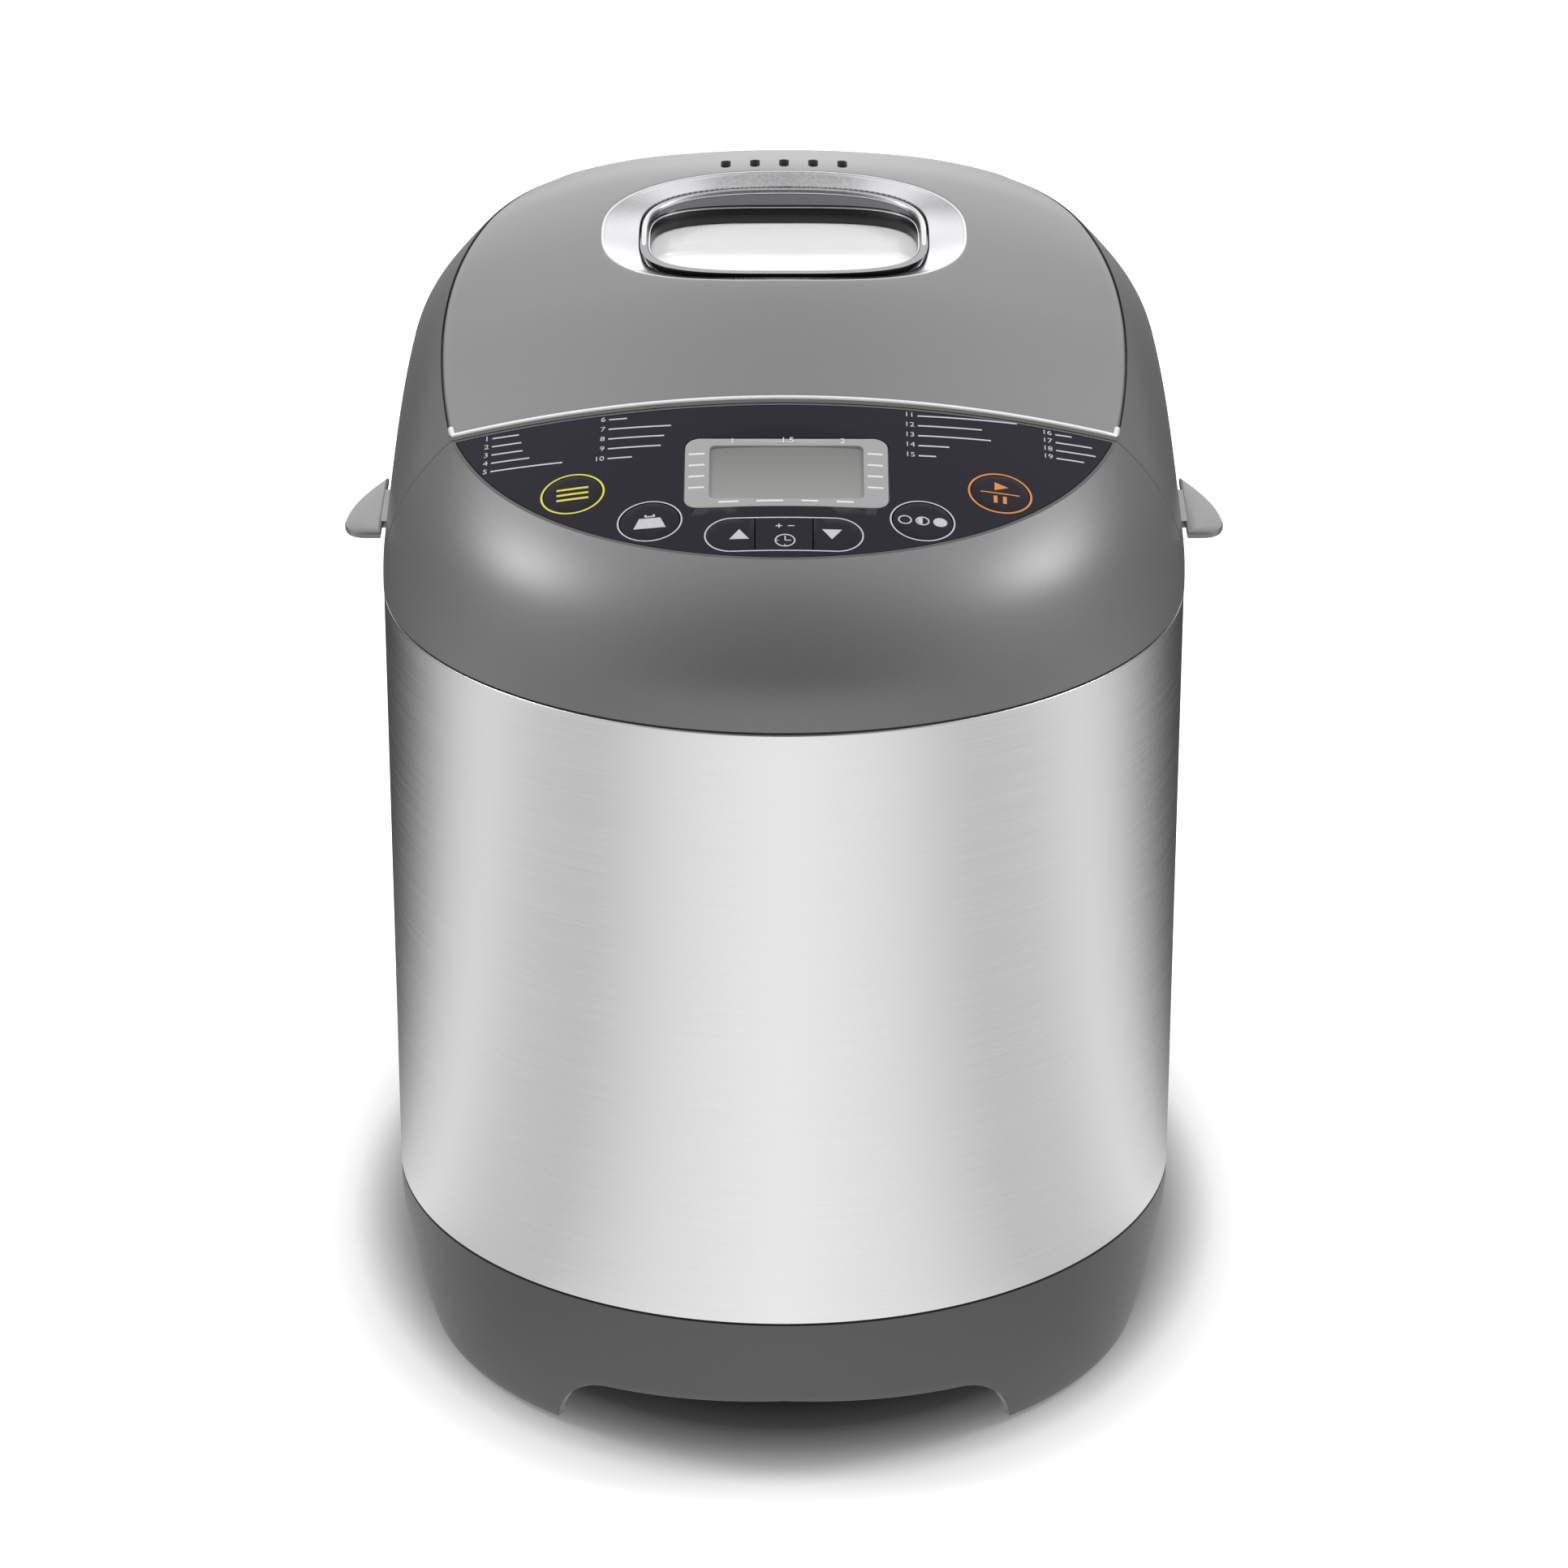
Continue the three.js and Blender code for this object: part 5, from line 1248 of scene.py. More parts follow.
def lid_rear_strip(rows):
    """The strip of the lid's top behind the shell."""
    right = [(shell_edge(shell_rear_y), shell_rear_y)]
    right += [inner for _, inner in rows if inner[1] > shell_rear_y]
    front_x, rear_x = right[0][0], right[-1][0]
    front_part = [(x, shell_rear_y) for x in steps_between(-front_x, front_x, 30)[1:-1]]
    rear_part = [(x, lid_rear_y) for x in steps_between(rear_x, -rear_x, 24)[1:-1]]
    return patch(right + rear_part + mirrored(right) + front_part, [], lid_top, 2.5)


def shell_seat():
    """The ledge that the shell sits on."""
    right = [(shell_edge(y), y) for y in steps_between(shell_front_y, shell_rear_y, 60)]
    seat_loop = right + mirrored(right)
    drop = shell_wall + seam
    ledge = strips([on_crown(inset(seat_loop, 8), drop), on_crown(seat_loop, drop)])
    return [turned_over(edge_strip(seat_loop, drop)), turned_over(ledge)]


def lid_face(right, lower_right):
    """The upright face behind the control panel, and the curl at its foot."""
    edge = [shoulder_point(*right, h, crown) for h in steps_between(0.2, 1, 26)]
    wall_from = lid_bottom + parting_round
    right_edge = [(lower_right[0][0], wall_from)]
    right_edge += [(x, z) for x, _, z in edge if z > wall_from + 0.5]
    top_x = shell_edge(lid_plane)
    across = [(x, crown(x, lid_plane)) for x in steps_between(top_x, -top_x, 50)[1:-1]]
    face_loop = right_edge + across + mirrored(right_edge)
    curl = []
    for d in (0, 1, 2, 3):
        y = lid_plane + d
        reach = next(p[0] for p in lower_right if p[1] >= y - 0.4)
        z = parting_z(y, lid_plane, lid_bottom)
        curl.append([(reach * s, y, z) for s in steps_between(-1, 1, 24)])
    curl.append([(x, y, flange_height) for x, y, _ in curl[-1]])
    face = patch(face_loop, [], lambda x, z: (x, lid_plane, z))
    return [face, turned_over(strips(curl, closed=False))]


def lid_flange(lower_right):
    """The lid's lower edge, and the flange inside it that carries the liner."""
    right = [(x, y) for x, y, _ in lower_right]
    back_x = right[-1][0]
    back = [(x, lid_rear_y) for x in steps_between(back_x, -back_x, 24)[1:-1]]
    whole = right + back + mirrored(right)
    lows = [z for _, _, z in lower_right]
    heights = lows + [lid_bottom] * len(back) + lows[::-1]
    inner = [(x, max(y, lid_plane + 3)) for x, y in inset(whole, 3)]
    ring_outer = [(x, y, z) for (x, y), z in zip(whole, heights)]
    ring_inner = [(x, y, z) for (x, y), z in zip(inner, heights)]
    ring_top = [(x, y, max(flange_height, z)) for (x, y), z in zip(inner, heights)]
    hx, hy = oven_half_width + 2.5, oven_half_depth + 2.5
    mouth = rounded_rect(0, oven_y, hx, hy, oven_corner + 2.5, 16)
    flange = [p for i, p in enumerate(inner) if math.dist(p, inner[i - 1]) > 0.2]
    ring = strips([ring_top, ring_inner, ring_outer], closed=False)
    return [ring, turned_over(patch(flange, [mouth], flat(flange_height)))]


def make_lid_frame():
    ys = [lid_plane + d for d in (0, 1, 2, 3.3, 4.5, 6, 7.5, 9, 10)] + steps_between(-60, 78, 16)
    rows = rear_rows(lid_rear_y, lid_corner, ys, 30)
    sides, lower_right = lid_sides(rows)
    parts = [*sides, lid_lip(), lid_rear_strip(rows), *shell_seat()]
    parts += lid_face(rows[0], lower_right) + lid_flange(lower_right)
    for hx in hinge_places:
        crest = arc(hinge_y, hinge_z, knuckle_radius, -60, 90, 16)
        arm = [(150, 257.4), (160.6, 257.4), *crest, (150, 265.2)]
        parts.append(extruded(arm, hx - arm_half_width, hx + arm_half_width))
    piece("lid_moulding", parts, "lid", "grey_plastic", ["lid_frame"], sharp=28)


def dish_loop(distance, angles):
    hx, hy = dish_half_width - distance, dish_half_depth - distance
    return [oval_at(dish_y, hx, hy, dish_power, a) for a in angles]


def shell_opening(angles):
    hx, hy = window_half_width + shell_gap, window_half_depth + shell_gap
    return [oval_at(window_y, hx, hy, window_power, a) for a in angles]


def make_lid_shell():
    front, rear = shell_front_y + shell_gap, shell_rear_y - shell_gap
    right = [(shell_edge(y) - shell_gap, y) for y in steps_between(front, rear, 60)]
    back = [(x, rear) for x in steps_between(right[-1][0], -right[-1][0], 20)[1:-1]]
    near = [(x, front) for x in steps_between(-right[0][0], right[0][0], 48)[1:-1]]
    outline = right + back + mirrored(right) + near
    angles = [math.atan2(y - dish_y, x) for x, y in outline]

    def dish(distance):
        return dish_loop(distance, angles)

    opening = shell_opening(angles)
    rows = [on_crown(inset(outline, d), depth) for d, depth in shell_edge_profile]
    border = inset(outline, shell_edge_profile[-1][0])
    rim = dish(-1.1)
    for share in [0.04, 0.1, *steps_between(0.18, 0.94, 20)]:
        rows.append(on_crown(blend(border, rim, share)))
    rows.append(on_crown(rim))
    rows.append(on_crown(dish(-0.5), 0.03))
    rows.append(on_crown(dish(-0.1), 0.13))
    for share in steps_between(0, 1, 10):
        slope = blend(dish(0.3), opening, share)
        rows.append(on_crown(slope, bowl_start + (dish_depth - bowl_start) * share))
    rows.append(on_crown(opening, dish_depth + 2.9))
    rows.append(on_crown(dish(-2.8), dish_depth + 2.9))
    rows.append(on_crown(dish(-2.8), shell_wall))
    rows.append(on_crown(outline, shell_wall))
    shell = piece(
        "lid_shell_moulding",
        [strips(rows)],
        "lid",
        "silver_plastic",
        ["lid_shell"],
        sharp=40,
    )
    cutters = []
    for k in range(5):
        slot = rounded_rect((k - 2) * vent_pitch, vent_y, 1.5, 4.5, 1.5, 6)
        cutters.append(strips([at_height(slot, 300), at_height(slot, 330)]))
        cutters.append(turned_over(patch(slot, [], flat(300))))
        cutters.append(patch(slot, [], flat(330)))
    cutter = piece("vent_cutter", cutters, "lid", "silver_plastic")
    cut = shell.modifiers.new("vents", "BOOLEAN")
    cut.object = cutter
    cut.operation = "DIFFERENCE"
    cut.solver = "EXACT"
    settle(shell, 40)
    bpy.data.objects.remove(cutter)


def make_shell_trim():
    """Bright skin in the bowl round the window, and painted highlight lines round the bowl's rim and
    along the shell's front.
    """
    angles = steps_between(0, 2 * math.pi, 160)[:-1]

    def bowl(distance):
        return dish_loop(distance, angles)

    opening = shell_opening(angles)
    lip = [(-0.3, 0.5), (-0.3, 0.03), (0.1, 0.14), (0.6, 0.36)]
    rows = [on_crown(bowl(d), depth) for d, depth in lip]
    for share in steps_between(0.1, 1, 10):
        slope = blend(bowl(0.3), opening, share)
        rows.append(on_crown(slope, bowl_start + (dish_depth - bowl_start) * share - bowl_skin))
    rows.append(on_crown(opening, dish_depth + 0.9))
    rows.append(on_crown(bowl(-0.3), 0.5))
    piece("window_bowl", [strips(rows)], "lid", "silver_plastic", finish=bright_skin, sharp=50)
    # A near-white line round the bowl's rim: a painted highlight.
    line = tube_along(on_crown(bowl(0.1), 0.26), 0.28, 8, closed=True)
    piece("window_bowl_highlight_line", [line], "lid", "silver_plastic", finish=highlight_skin)

    front = shell_front_y + shell_gap + 0.6
    right = [(shell_edge(y) - shell_gap - 0.5, y) for y in steps_between(front, front + 4, 5)]
    near = [(x, front) for x in steps_between(-right[0][0], right[0][0], 60)[1:-1]]
    route = mirrored(right) + near + right
    # A near-white line along the shell's front edge: a painted highlight.
    line = tube_along(on_crown(route, 0.5), 0.95, 12)
    piece("shell_edge_highlight_line", [line], "lid", "silver_plastic", finish=highlight_skin)


rim_width = 2.2
rim_sink = 1.35
rim_dip = 1.7
ring_sink = 1.5
pane_wall = 2.5


def rim_row(loop, depth):
    """Points under the crown, lower toward the front where the rim meets the bowl's lip."""
    dip_from = window_y - 0.3 * window_half_depth
    row = []
    for x, y in loop:
        share = smooth_step((dip_from - y) / (0.55 * window_half_depth))
        row.append((x, y, crown(x, y) - depth - rim_dip * share))
    return row


def make_window_rim():
    """The bright round rim, on the smoke-grey ring that reaches down to the glass."""
    outer, inner = window_loop(0), window_loop(rim_width)
    rows = [rim_row(loop, dish_depth + rim_sink) for loop in (inner, outer)]
    for a in steps_between(0, math.pi, 12):
        loop = window_loop((1 - math.cos(a)) * rim_width / 2)
        rows.append(rim_row(loop, dish_depth + (1 - math.sin(a)) * rim_width / 2))
    rows.append(rim_row(inner, dish_depth + rim_sink))
    piece("window_rim", [strips(rows)], "lid", "silver_plastic", finish=bright_skin, sharp=60)
    rows = [at_height(loop, glass_top + 0.9) for loop in (window_loop(-4.5), outer)]
    rows += [rim_row(loop, dish_depth + ring_sink) for loop in (outer, inner)]
    rows += [at_height(loop, glass_top + 5.6) for loop in (inner, outer)]
    piece("window_ring", [strips(rows)], "lid", "dark_plastic", ["window_bezel"], finish=smoke_skin)


def make_gasket():
    profile = [(1.2, 0.3), (1.2, 5.4), (2.3, 5.4), (2.7, 5.1), (3.0, 4.6), (3.0, 0.3)]
    piece(
        "window_gasket",
        [strips([at_height(window_loop(d), glass_top + up) for d, up in profile])],
        "lid",
        "dark_plastic",
        finish=gloss_black,
    )
    bead = [(x, y, glass_top + 5.2) for x, y in window_loop(2.75)]
    piece("window_bead", [tube_along(bead, 0.28, 8, closed=True)], "lid", "turned_steel")


def make_pane():
    bottom = glass_top - pane_wall
    levels = [(-1.2, 0), (-1.5, 0.3), (-1.5, pane_wall - 0.3), (-1.2, pane_wall)]
    rows = [at_height(window_loop(d), bottom + up) for d, up in levels]
    glass = [strips(rows), patch(window_loop(-1.2), [], flat(glass_top))]
    glass.append(turned_over(patch(window_loop(-1.2), [], flat(bottom))))
    piece("window_pane", glass, "lid", "glass", ["window_glass"])


def bent(start, pull, end, count):
    """Points after the start of a curve that a third point pulls to its side."""
    points = []
    for t in steps_between(0, 1, count)[1:]:
        x, y = ((1 - t) ** 2 * a + 2 * t * (1 - t) * b + t * t * c for a, b, c in zip(start, pull, end))
        points.append((x, y))
    return points


def make_grips():
    for side, sign in (("left", -1), ("right", 1)):
        root, reach = half_width + 0.3, 129.3
        front, rear = -66.4, -24.5
        outline = [(root, front), (reach - 7, front)]
        outline += bent((reach - 7, front), (reach, front), (reach, front + 9), 16)
        outline += bent((reach, front + 9), (reach - 1, rear - 18), (root + 0.6, rear), 24)
        outline.append((root, rear))
        if sign < 0:
            outline = mirrored(outline)
        bottom, top = 256.3, 258.5
        levels = [(0.6, bottom), (0.18, bottom + 0.18), (0, bottom + 0.6), (0, top - 0.8)]
        levels += [(0.23, top - 0.23), (0.8, top)]
        rows = [at_height(inset(outline, d), z) for d, z in levels]
        parts = [strips(rows), patch(inset(outline, 0.8), [], flat(top), 6)]
        parts.append(turned_over(patch(inset(outline, 0.6), [], flat(bottom))))
        tongue = rounded_rect(sign * 115.4, -46, 3.4, 12, 0.5, 2)
        parts.append(strips([at_height(tongue, bottom), at_height(tongue, top)]))
        parts.append(patch(tongue, [], flat(top)))
        piece("grip_" + side, parts, "lid", "silver_plastic", ["lid_grip_" + side])


make_lid_frame()
make_lid_shell()
make_shell_trim()
make_window_rim()
make_gasket()
make_pane()
make_grips()


# ---------- print on the panel ----------
# Each coat of ink stands as thin as it can and still be a solid of its own.
ink_top = -0.05
ink_foot = 0.01


def ink_line(outer, inner):
    """A printed line between two outlines."""
    loops = [(outer, ink_foot), (outer, ink_top), (inner, ink_top), (inner, ink_foot), (outer, ink_foot)]
    return strips([on_crown(loop, depth) for loop, depth in loops])


def ink_shape(outline):
    top = patch(outline, [], crown_less(ink_top))
    under = turned_over(patch(outline, [], crown_less(ink_foot)))
    return joined([top, under, edge_strip(outline, ink_foot, ink_top)])


def stroke(x0, x1, y, width=0.5):
    """A printed bar, with points along it so that it follows the crown."""
    steps = max(1, round((x1 - x0) / 2))
    low = [(x, y - width / 2) for x in steps_between(x0, x1, steps)]
    return low + [(x, y + width / 2) for x, _ in reversed(low)]


def printed_number(text, x, y, size, align="RIGHT"):
    """A plain number that stands on the crown, with its edge or middle at a place."""
    curve = bpy.data.curves.new("number", "FONT")
    curve.body = text
    curve.size = size
    curve.align_x = align
    curve.align_y = "CENTER"
    curve.extrude = 0.03
    curve.resolution_u = 3
    holder = bpy.data.objects.new("number", curve)
    scene.collection.objects.link(holder)
    graph = bpy.context.evaluated_depsgraph_get()
    mesh = bpy.data.meshes.new_from_object(holder.evaluated_get(graph))
    points = []
    for vertex in mesh.vertices:
        px, py = x + vertex.co.x, y + vertex.co.y
        points.append((px, py, crown(px, py) + 0.02 + vertex.co.z))
    faces = [tuple(face.vertices) for face in mesh.polygons]
    bpy.data.objects.remove(holder)
    bpy.data.curves.remove(curve)
    bpy.data.meshes.remove(mesh)
    return points, faces


# First number, height and start of its line, space between lines, lean, lengths of the bars.
programme_lists = [
    (1, -78.3, -84.2, 3.9, -0.08, [7.7, 8.5, 9.0, 11.1, 20.7]),
    (6, -78.3, -50.5, 4.6, -0.06, [5.2, 18.0, 16.1, 15.2, 7.0]),
    (11, -78.6, 38.5, 4.7, 0.08, [28.8, 18.5, 21.0, 8.9, 5.0]),
    (16, -78.3, 78.3, 3.75, 0.08, [4.8, 10.6, 11.5, 8.0]),
]
number_size = 3.0
lower_marks = [(-15.7, 2.8), (-4.0, 3.8), (7.3, 2.4), (17.3, 2.4)]


def make_programme_lists():
    numbers, bars = [], []
    for first, top_y, start, pitch, lean, lengths in programme_lists:
        for k, length in enumerate(lengths):
            y = top_y - k * pitch
            numbers.append(printed_number(str(first + k), start - 0.9, y, number_size))
            bar = stroke(start, start + length, y - 0.3, 0.6)
            bars.append(ink_shape([(px, py + (px - start) * lean) for px, py in bar]))
    piece("programme_numbers", numbers, "machine", "bezel_grey", finish=white_ink, outward=True)
    piece("programme_bars", bars, "machine", "bezel_grey", finish=white_ink)


def make_frame_marks():
    """Size numbers over the display, and plain marks on its other three sides."""
    marks = []
    for text, x in (("1", -14.8), ("1.5", 1.0), ("2", 16.8)):
        marks.append(printed_number(text, x, -93.3, 3.2, "CENTER"))
    marks += [ink_shape(stroke(x - half, x + half, -121.1, 0.8)) for x, half in lower_marks]
    for y in steps_between(-98.6, -114, 3):
        marks.append(ink_shape(stroke(-27.2, -22.7, y, 0.75)))
        marks.append(ink_shape(stroke(23.8, 28.2, y, 0.75)))
    piece("display_frame_marks", marks, "machine", "bezel_grey", finish=bright_ink, outward=True)


def ring_at(place, radius, width):
    return ink_line(
        laid(place, arc(0, 0, radius, 0, 356, 89)),
        laid(place, arc(0, 0, radius - width, 0, 356, 89)),
    )


def laid_shapes(place, outlines):
    return [ink_shape(laid(place, outline)) for outline in outlines]


def make_button_print():
    """A ring round each button, and a sign on it that says what it does."""
    for name, (place, ink) in buttons.items():
        short = name.replace("_button", "")
        width = 0.6 if ink in (yellow_ink, orange_ink) else 0.45
        piece(short + "_ring", [ring_at(place, 9.3, width)], "machine", "bezel_grey", finish=ink)
        piece(short + "_sign", laid_shapes(place, button_signs[name]), name, "bezel_grey", finish=ink)


def open_disc(x, radius, width):
    """A printed ring with a hairline cut, so that it is one outline."""
    return arc(x, 0, radius, 4, 358, 40) + arc(x, 0, radius - width, 358, 4, 40)


weight_ring = [(-1.5, 1.9), (1.5, 1.9), (1.5, 3.0), (0.9, 3.0)]
weight_ring += [(0.9, 2.4), (-0.9, 2.4), (-0.9, 3.0), (-1.5, 3.0)]
button_signs = {
    # A list: three lines.
    "menu_button": [stroke(-4.6, 4.6, y, 0.85) for y in (2.4, 0.0, -2.4)],
    # A scale weight under its ring.
    "weight_button": [
        [(-4.6, -3.2), (4.6, -3.2), (3.0, 1.4), (-3.0, 1.4)],
        weight_ring,
    ],
    # Light to dark: an open disc, a half-filled one and a full one.
    "color_button": [
        open_disc(-5.0, 2.0, 0.45),
        open_disc(0, 2.0, 0.45),
        arc(0, 0, 1.4, 90, 270, 14),
        arc(5.0, 0, 2.0, 0, 345, 23),
    ],
    # Start over pause, with a line between.
    "start_button": [
        [(-1.6, 1.2), (2.4, 3.1), (-1.6, 5.0)],
        stroke(-5.6, 5.6, 0, 0.45),
        [(-1.9, -4.6), (-0.8, -4.6), (-0.8, -1.3), (-1.9, -1.3)],
        [(0.8, -4.6), (1.9, -4.6), (1.9, -1.3), (0.8, -1.3)],
    ],
}


def make_timer_print():
    centre = timer_half_length - timer_half_width

    def pill(distance):
        radius = timer_half_width - distance
        loop = [(x, -radius) for x in steps_between(-centre, centre, 14)[1:-1]]
        loop += arc(centre, 0, radius, -90, 90, 24)
        loop += [(x, radius) for x in steps_between(centre, -centre, 14)[1:-1]]
        return loop + arc(-centre, 0, radius, 90, 270, 24)

    place = (0, timer_y)
    outline = [ink_line(laid(place, pill(-0.25)), laid(place, pill(0.2)))]
    clock = (0.3, -138.9)
    outline.append(ring_at(clock, 2.9, 0.4))
    hands = [stroke(0, 1.7, 0, 0.35), [(-0.18, 0), (0.18, 0), (0.18, 2.0), (-0.18, 2.0)]]
    ticks = [[(-0.15, -2.4), (0.15, -2.4), (0.15, -1.8), (-0.15, -1.8)], stroke(-2.4, -1.8, 0, 0.3)]
    outline += laid_shapes(clock, hands + ticks)
    signs = (0.3, -132.4)
    plus = [stroke(-2.6, -0.8, 0, 0.4), [(-1.9, -0.9), (-1.5, -0.9), (-1.5, 0.9), (-1.9, 0.9)]]
    outline += laid_shapes(signs, plus + [stroke(0.8, 2.6, 0, 0.4)])
    piece("timer_print", outline, "machine", "bezel_grey", finish=white_ink)
    up = laid_shapes((-12.6, -135.9), [[(-2.8, -2.2), (2.8, -2.2), (0, 2.3)]])
    down = laid_shapes((13.5, -135.9), [[(0, -2.3), (2.8, 2.2), (-2.8, 2.2)]])
    piece("timer_up_sign", up, "timer_up_button", "bezel_grey", finish=white_ink)
    piece("timer_down_sign", down, "timer_down_button", "bezel_grey", finish=white_ink)


make_programme_lists()
make_frame_marks()
make_button_print()
make_timer_print()

# ---------- oven, pan and paddle ----------
oven_floor = 78
sheet_wall = 1.5
flange_top = 257.3
pan_half_width = 66
pan_half_depth = 82
pan_corner = 28
pan_bottom = 97
pan_top = 238
pan_wall = 2
bail_height = 229


def oven_rect(distance):
    hx, hy = oven_half_width - distance, oven_half_depth - distance
    return rounded_rect(0, oven_y, hx, hy, oven_corner - distance, 14)


def pan_rect(distance):
    hx, hy = pan_half_width - distance, pan_half_depth - distance
    return rounded_rect(0, oven_y, hx, hy, pan_corner - distance, 14)


def fillet(d, z, radius, start, end, count=6):
    """Distance and height pairs round a corner."""
    return arc(d, z, radius, start, end, count)


def make_oven():
    hole = arc(0, oven_y, 11.3, 0, 354, 59)
    outer = fillet(6, oven_floor + 6, 6, 270, 180)
    lip = [(0, 256.3), (-6.7, 256.3), (-7, 256.5), (-7, 257.1), (-6.7, flange_top)]
    lip += [(0.6, flange_top), (1.2, 257.0), (1.5, 256.3)]
    inner = fillet(7.5, oven_floor + 7.5, 6, 180, 270)
    floor_top = oven_floor + sheet_wall
    parts = [strips(profile_rows(oven_rect, outer + lip + inner))]
    parts.append(patch(oven_rect(7.5), [hole], flat(floor_top)))
    parts.append(turned_over(patch(oven_rect(6), [hole], flat(oven_floor))))
    parts.append(hole_wall(hole, oven_floor, floor_top))
    piece("oven_pressing", parts, "machine", "sheet_steel", ["oven_cavity"])


def make_heater():
    z = 102
    lead = [(14, -65), (14, -58)] + arc(20, -54.5, 6, 180, 90, 8)
    loop = arc(49, -17.5, 31, -90, 0, 14) + arc(49, 95.5, 31, 0, 90, 14)
    loop += arc(-49, 95.5, 31, 90, 180, 14) + arc(-49, -17.5, 31, 180, 270, 14)
    route = lead + loop + mirrored(lead)
    tube = tube_along([(x, y, z) for x, y in route], 3.25, 16)
    fitting = [(3.3, -56.9), (6.4, -56.9), (6.4, -55.2), (5.9, -54.6), (4.2, -54.6), (3.3, -53.8)]
    fittings = [lathe_along_y(x, z, fitting) for x in (-14, 14)]
    piece("heater_tube", [tube, *fittings], "machine", "element_steel", ["heating_element"])


def make_probe():
    probe = [(0.01, -65), (2.8, -65), (2.8, -60), (5.5, -60), (5.8, -59.7), (5.8, -57.6), (5.5, -57.3)]
    probe += [(2.8, -57.3), (2.8, -48.6), (2.3, -47.6), (1.4, -47.1), (0.01, -47)]
    piece(
        "oven_probe",
        [lathe_along_y(40, 130, probe)],
        "machine",
        "turned_steel",
        ["temperature_sensor"],
    )


def make_seat_ring():
    ring = [(37.6, 79.8), (41.1, 79.8), (41.4, 80.1), (41.4, 89.2), (40.9, 89.8), (38.3, 89.8)]
    ring += [(37.4, 88.9), (37.4, 80.0), (37.6, 79.8)]
    piece("seat_ring", [lathe(0, oven_y, ring, 72)], "machine", "cast_aluminium", ["pan_seat"])


def make_pan():
    def draft(z):
        return 2.5 * (pan_top - z) / (pan_top - pan_bottom)

    outer = [(d + draft(97), z) for d, z in fillet(7, pan_bottom + 7, 7, 270, 180)]
    outer += [(draft(z), z) for z in steps_between(115, 235.9, 4)]
    lip = [(-3, 236), (-3.7, 236.3), (-4, 237), (-3.7, 237.7), (-3, 238), (-0.6, 238)]
    lip += [(1.0, 237.8), (1.8, 237.1)]
    inner = [(pan_wall + draft(z), z) for z in steps_between(235.8, 115, 4)]
    inner += [(d + pan_wall + draft(97), z) for d, z in fillet(7, pan_bottom + pan_wall + 7, 7, 180, 270)]
    hole = arc(0, oven_y, 9.3, 0, 354, 59)
    parts = [strips(profile_rows(pan_rect, outer + lip + inner))]
    parts.append(patch(pan_rect(inner[-1][0]), [hole], flat(inner[-1][1])))
    parts.append(turned_over(patch(pan_rect(outer[0][0]), [hole], flat(outer[0][1]))))
    parts.append(hole_wall(hole, outer[0][1], inner[-1][1]))
    skirt = [(35, 97.5), (35, 80.1), (35.3, 79.8), (36.7, 79.8), (37, 80.1), (37, 97.5)]
    parts.append(lathe(0, oven_y, skirt, 72))
    for sign in (-1, 1):
        outline = arc(oven_y, bail_height, 8, 180, 360, 18) + [(47, 235.6), (31, 235.6)]
        near, far = sign * 64.8, sign * 69
        parts.append(extruded(outline, min(near, far), max(near, far)))
    piece("pan_pressing", parts, "pan", "nonstick_coating", ["bread_pan"])


def make_bail():
    reach = 72.4
    length = 64
    rise = math.asin((pan_top + 0.3 + 2 + 0.2 - bail_height) / length)
    half = [(66.8, 0), (69.4, 0)] + arc(reach - 2.2, 2.2, 2.2, -90, 0, 6)
    half += arc(reach - 5, length - 5, 5, 0, 90, 8)
    route = half + mirrored(half)
    wire = [(x, oven_y - v * math.cos(rise), bail_height + v * math.sin(rise)) for x, v in route]
    piece("bail_wire", [tube_along(wire, 2, 16)], "bail", "turned_steel", ["pan_bail"])


def make_paddle():
    bottom = 105.6
    hub = [(4.3, bottom), (8.4, bottom), (9, bottom + 0.6), (7.3, 124.5), (6.7, 125.3), (4.9, 125.3)]
    hub += [(4.3, 124.7), (4.3, bottom)]
    blade = [(4.6, bottom), (45, bottom), (46, bottom + 1.2), (42, 119.7)]
    blade += arc(31, 117.2, 10.4, 12, 92, 8) + [(20, 126.4), (4.6, 124.0)]
    heel = [(-14, bottom), (-4.6, bottom), (-4.6, 119.7), (-10, 119.7), (-12.6, 114)]
    parts = [lathe(0, oven_y, hub, 48)]
    for outline, half in ((blade, 2.5), (heel, 3)):
        edge = [(1.0, -half), (0.3, 0.4 - half), (0, 1.2 - half)]
        edge += [(d, -y) for d, y in reversed(edge)]
        rows = [[(x, oven_y + y, z) for x, z in inset(outline, d)] for d, y in edge]
        parts.append(strips(rows))
        for y in (-half, half):
            parts.append(patch(inset(outline, 1.0), [], lambda x, z, y=y: (x, oven_y + y, z)))
    piece("paddle_casting", parts, "paddle", "nonstick_coating", ["kneading_paddle"], outward=True)


# ---------- inside of the lid ----------
liner_bottom = 259.9
liner_top = 298
liner_screw_reach = 104.5
liner_screw_y = 20
liner_screw_top = 258.1
cover_screw_reach = 36
cover_screw_height = 58.5


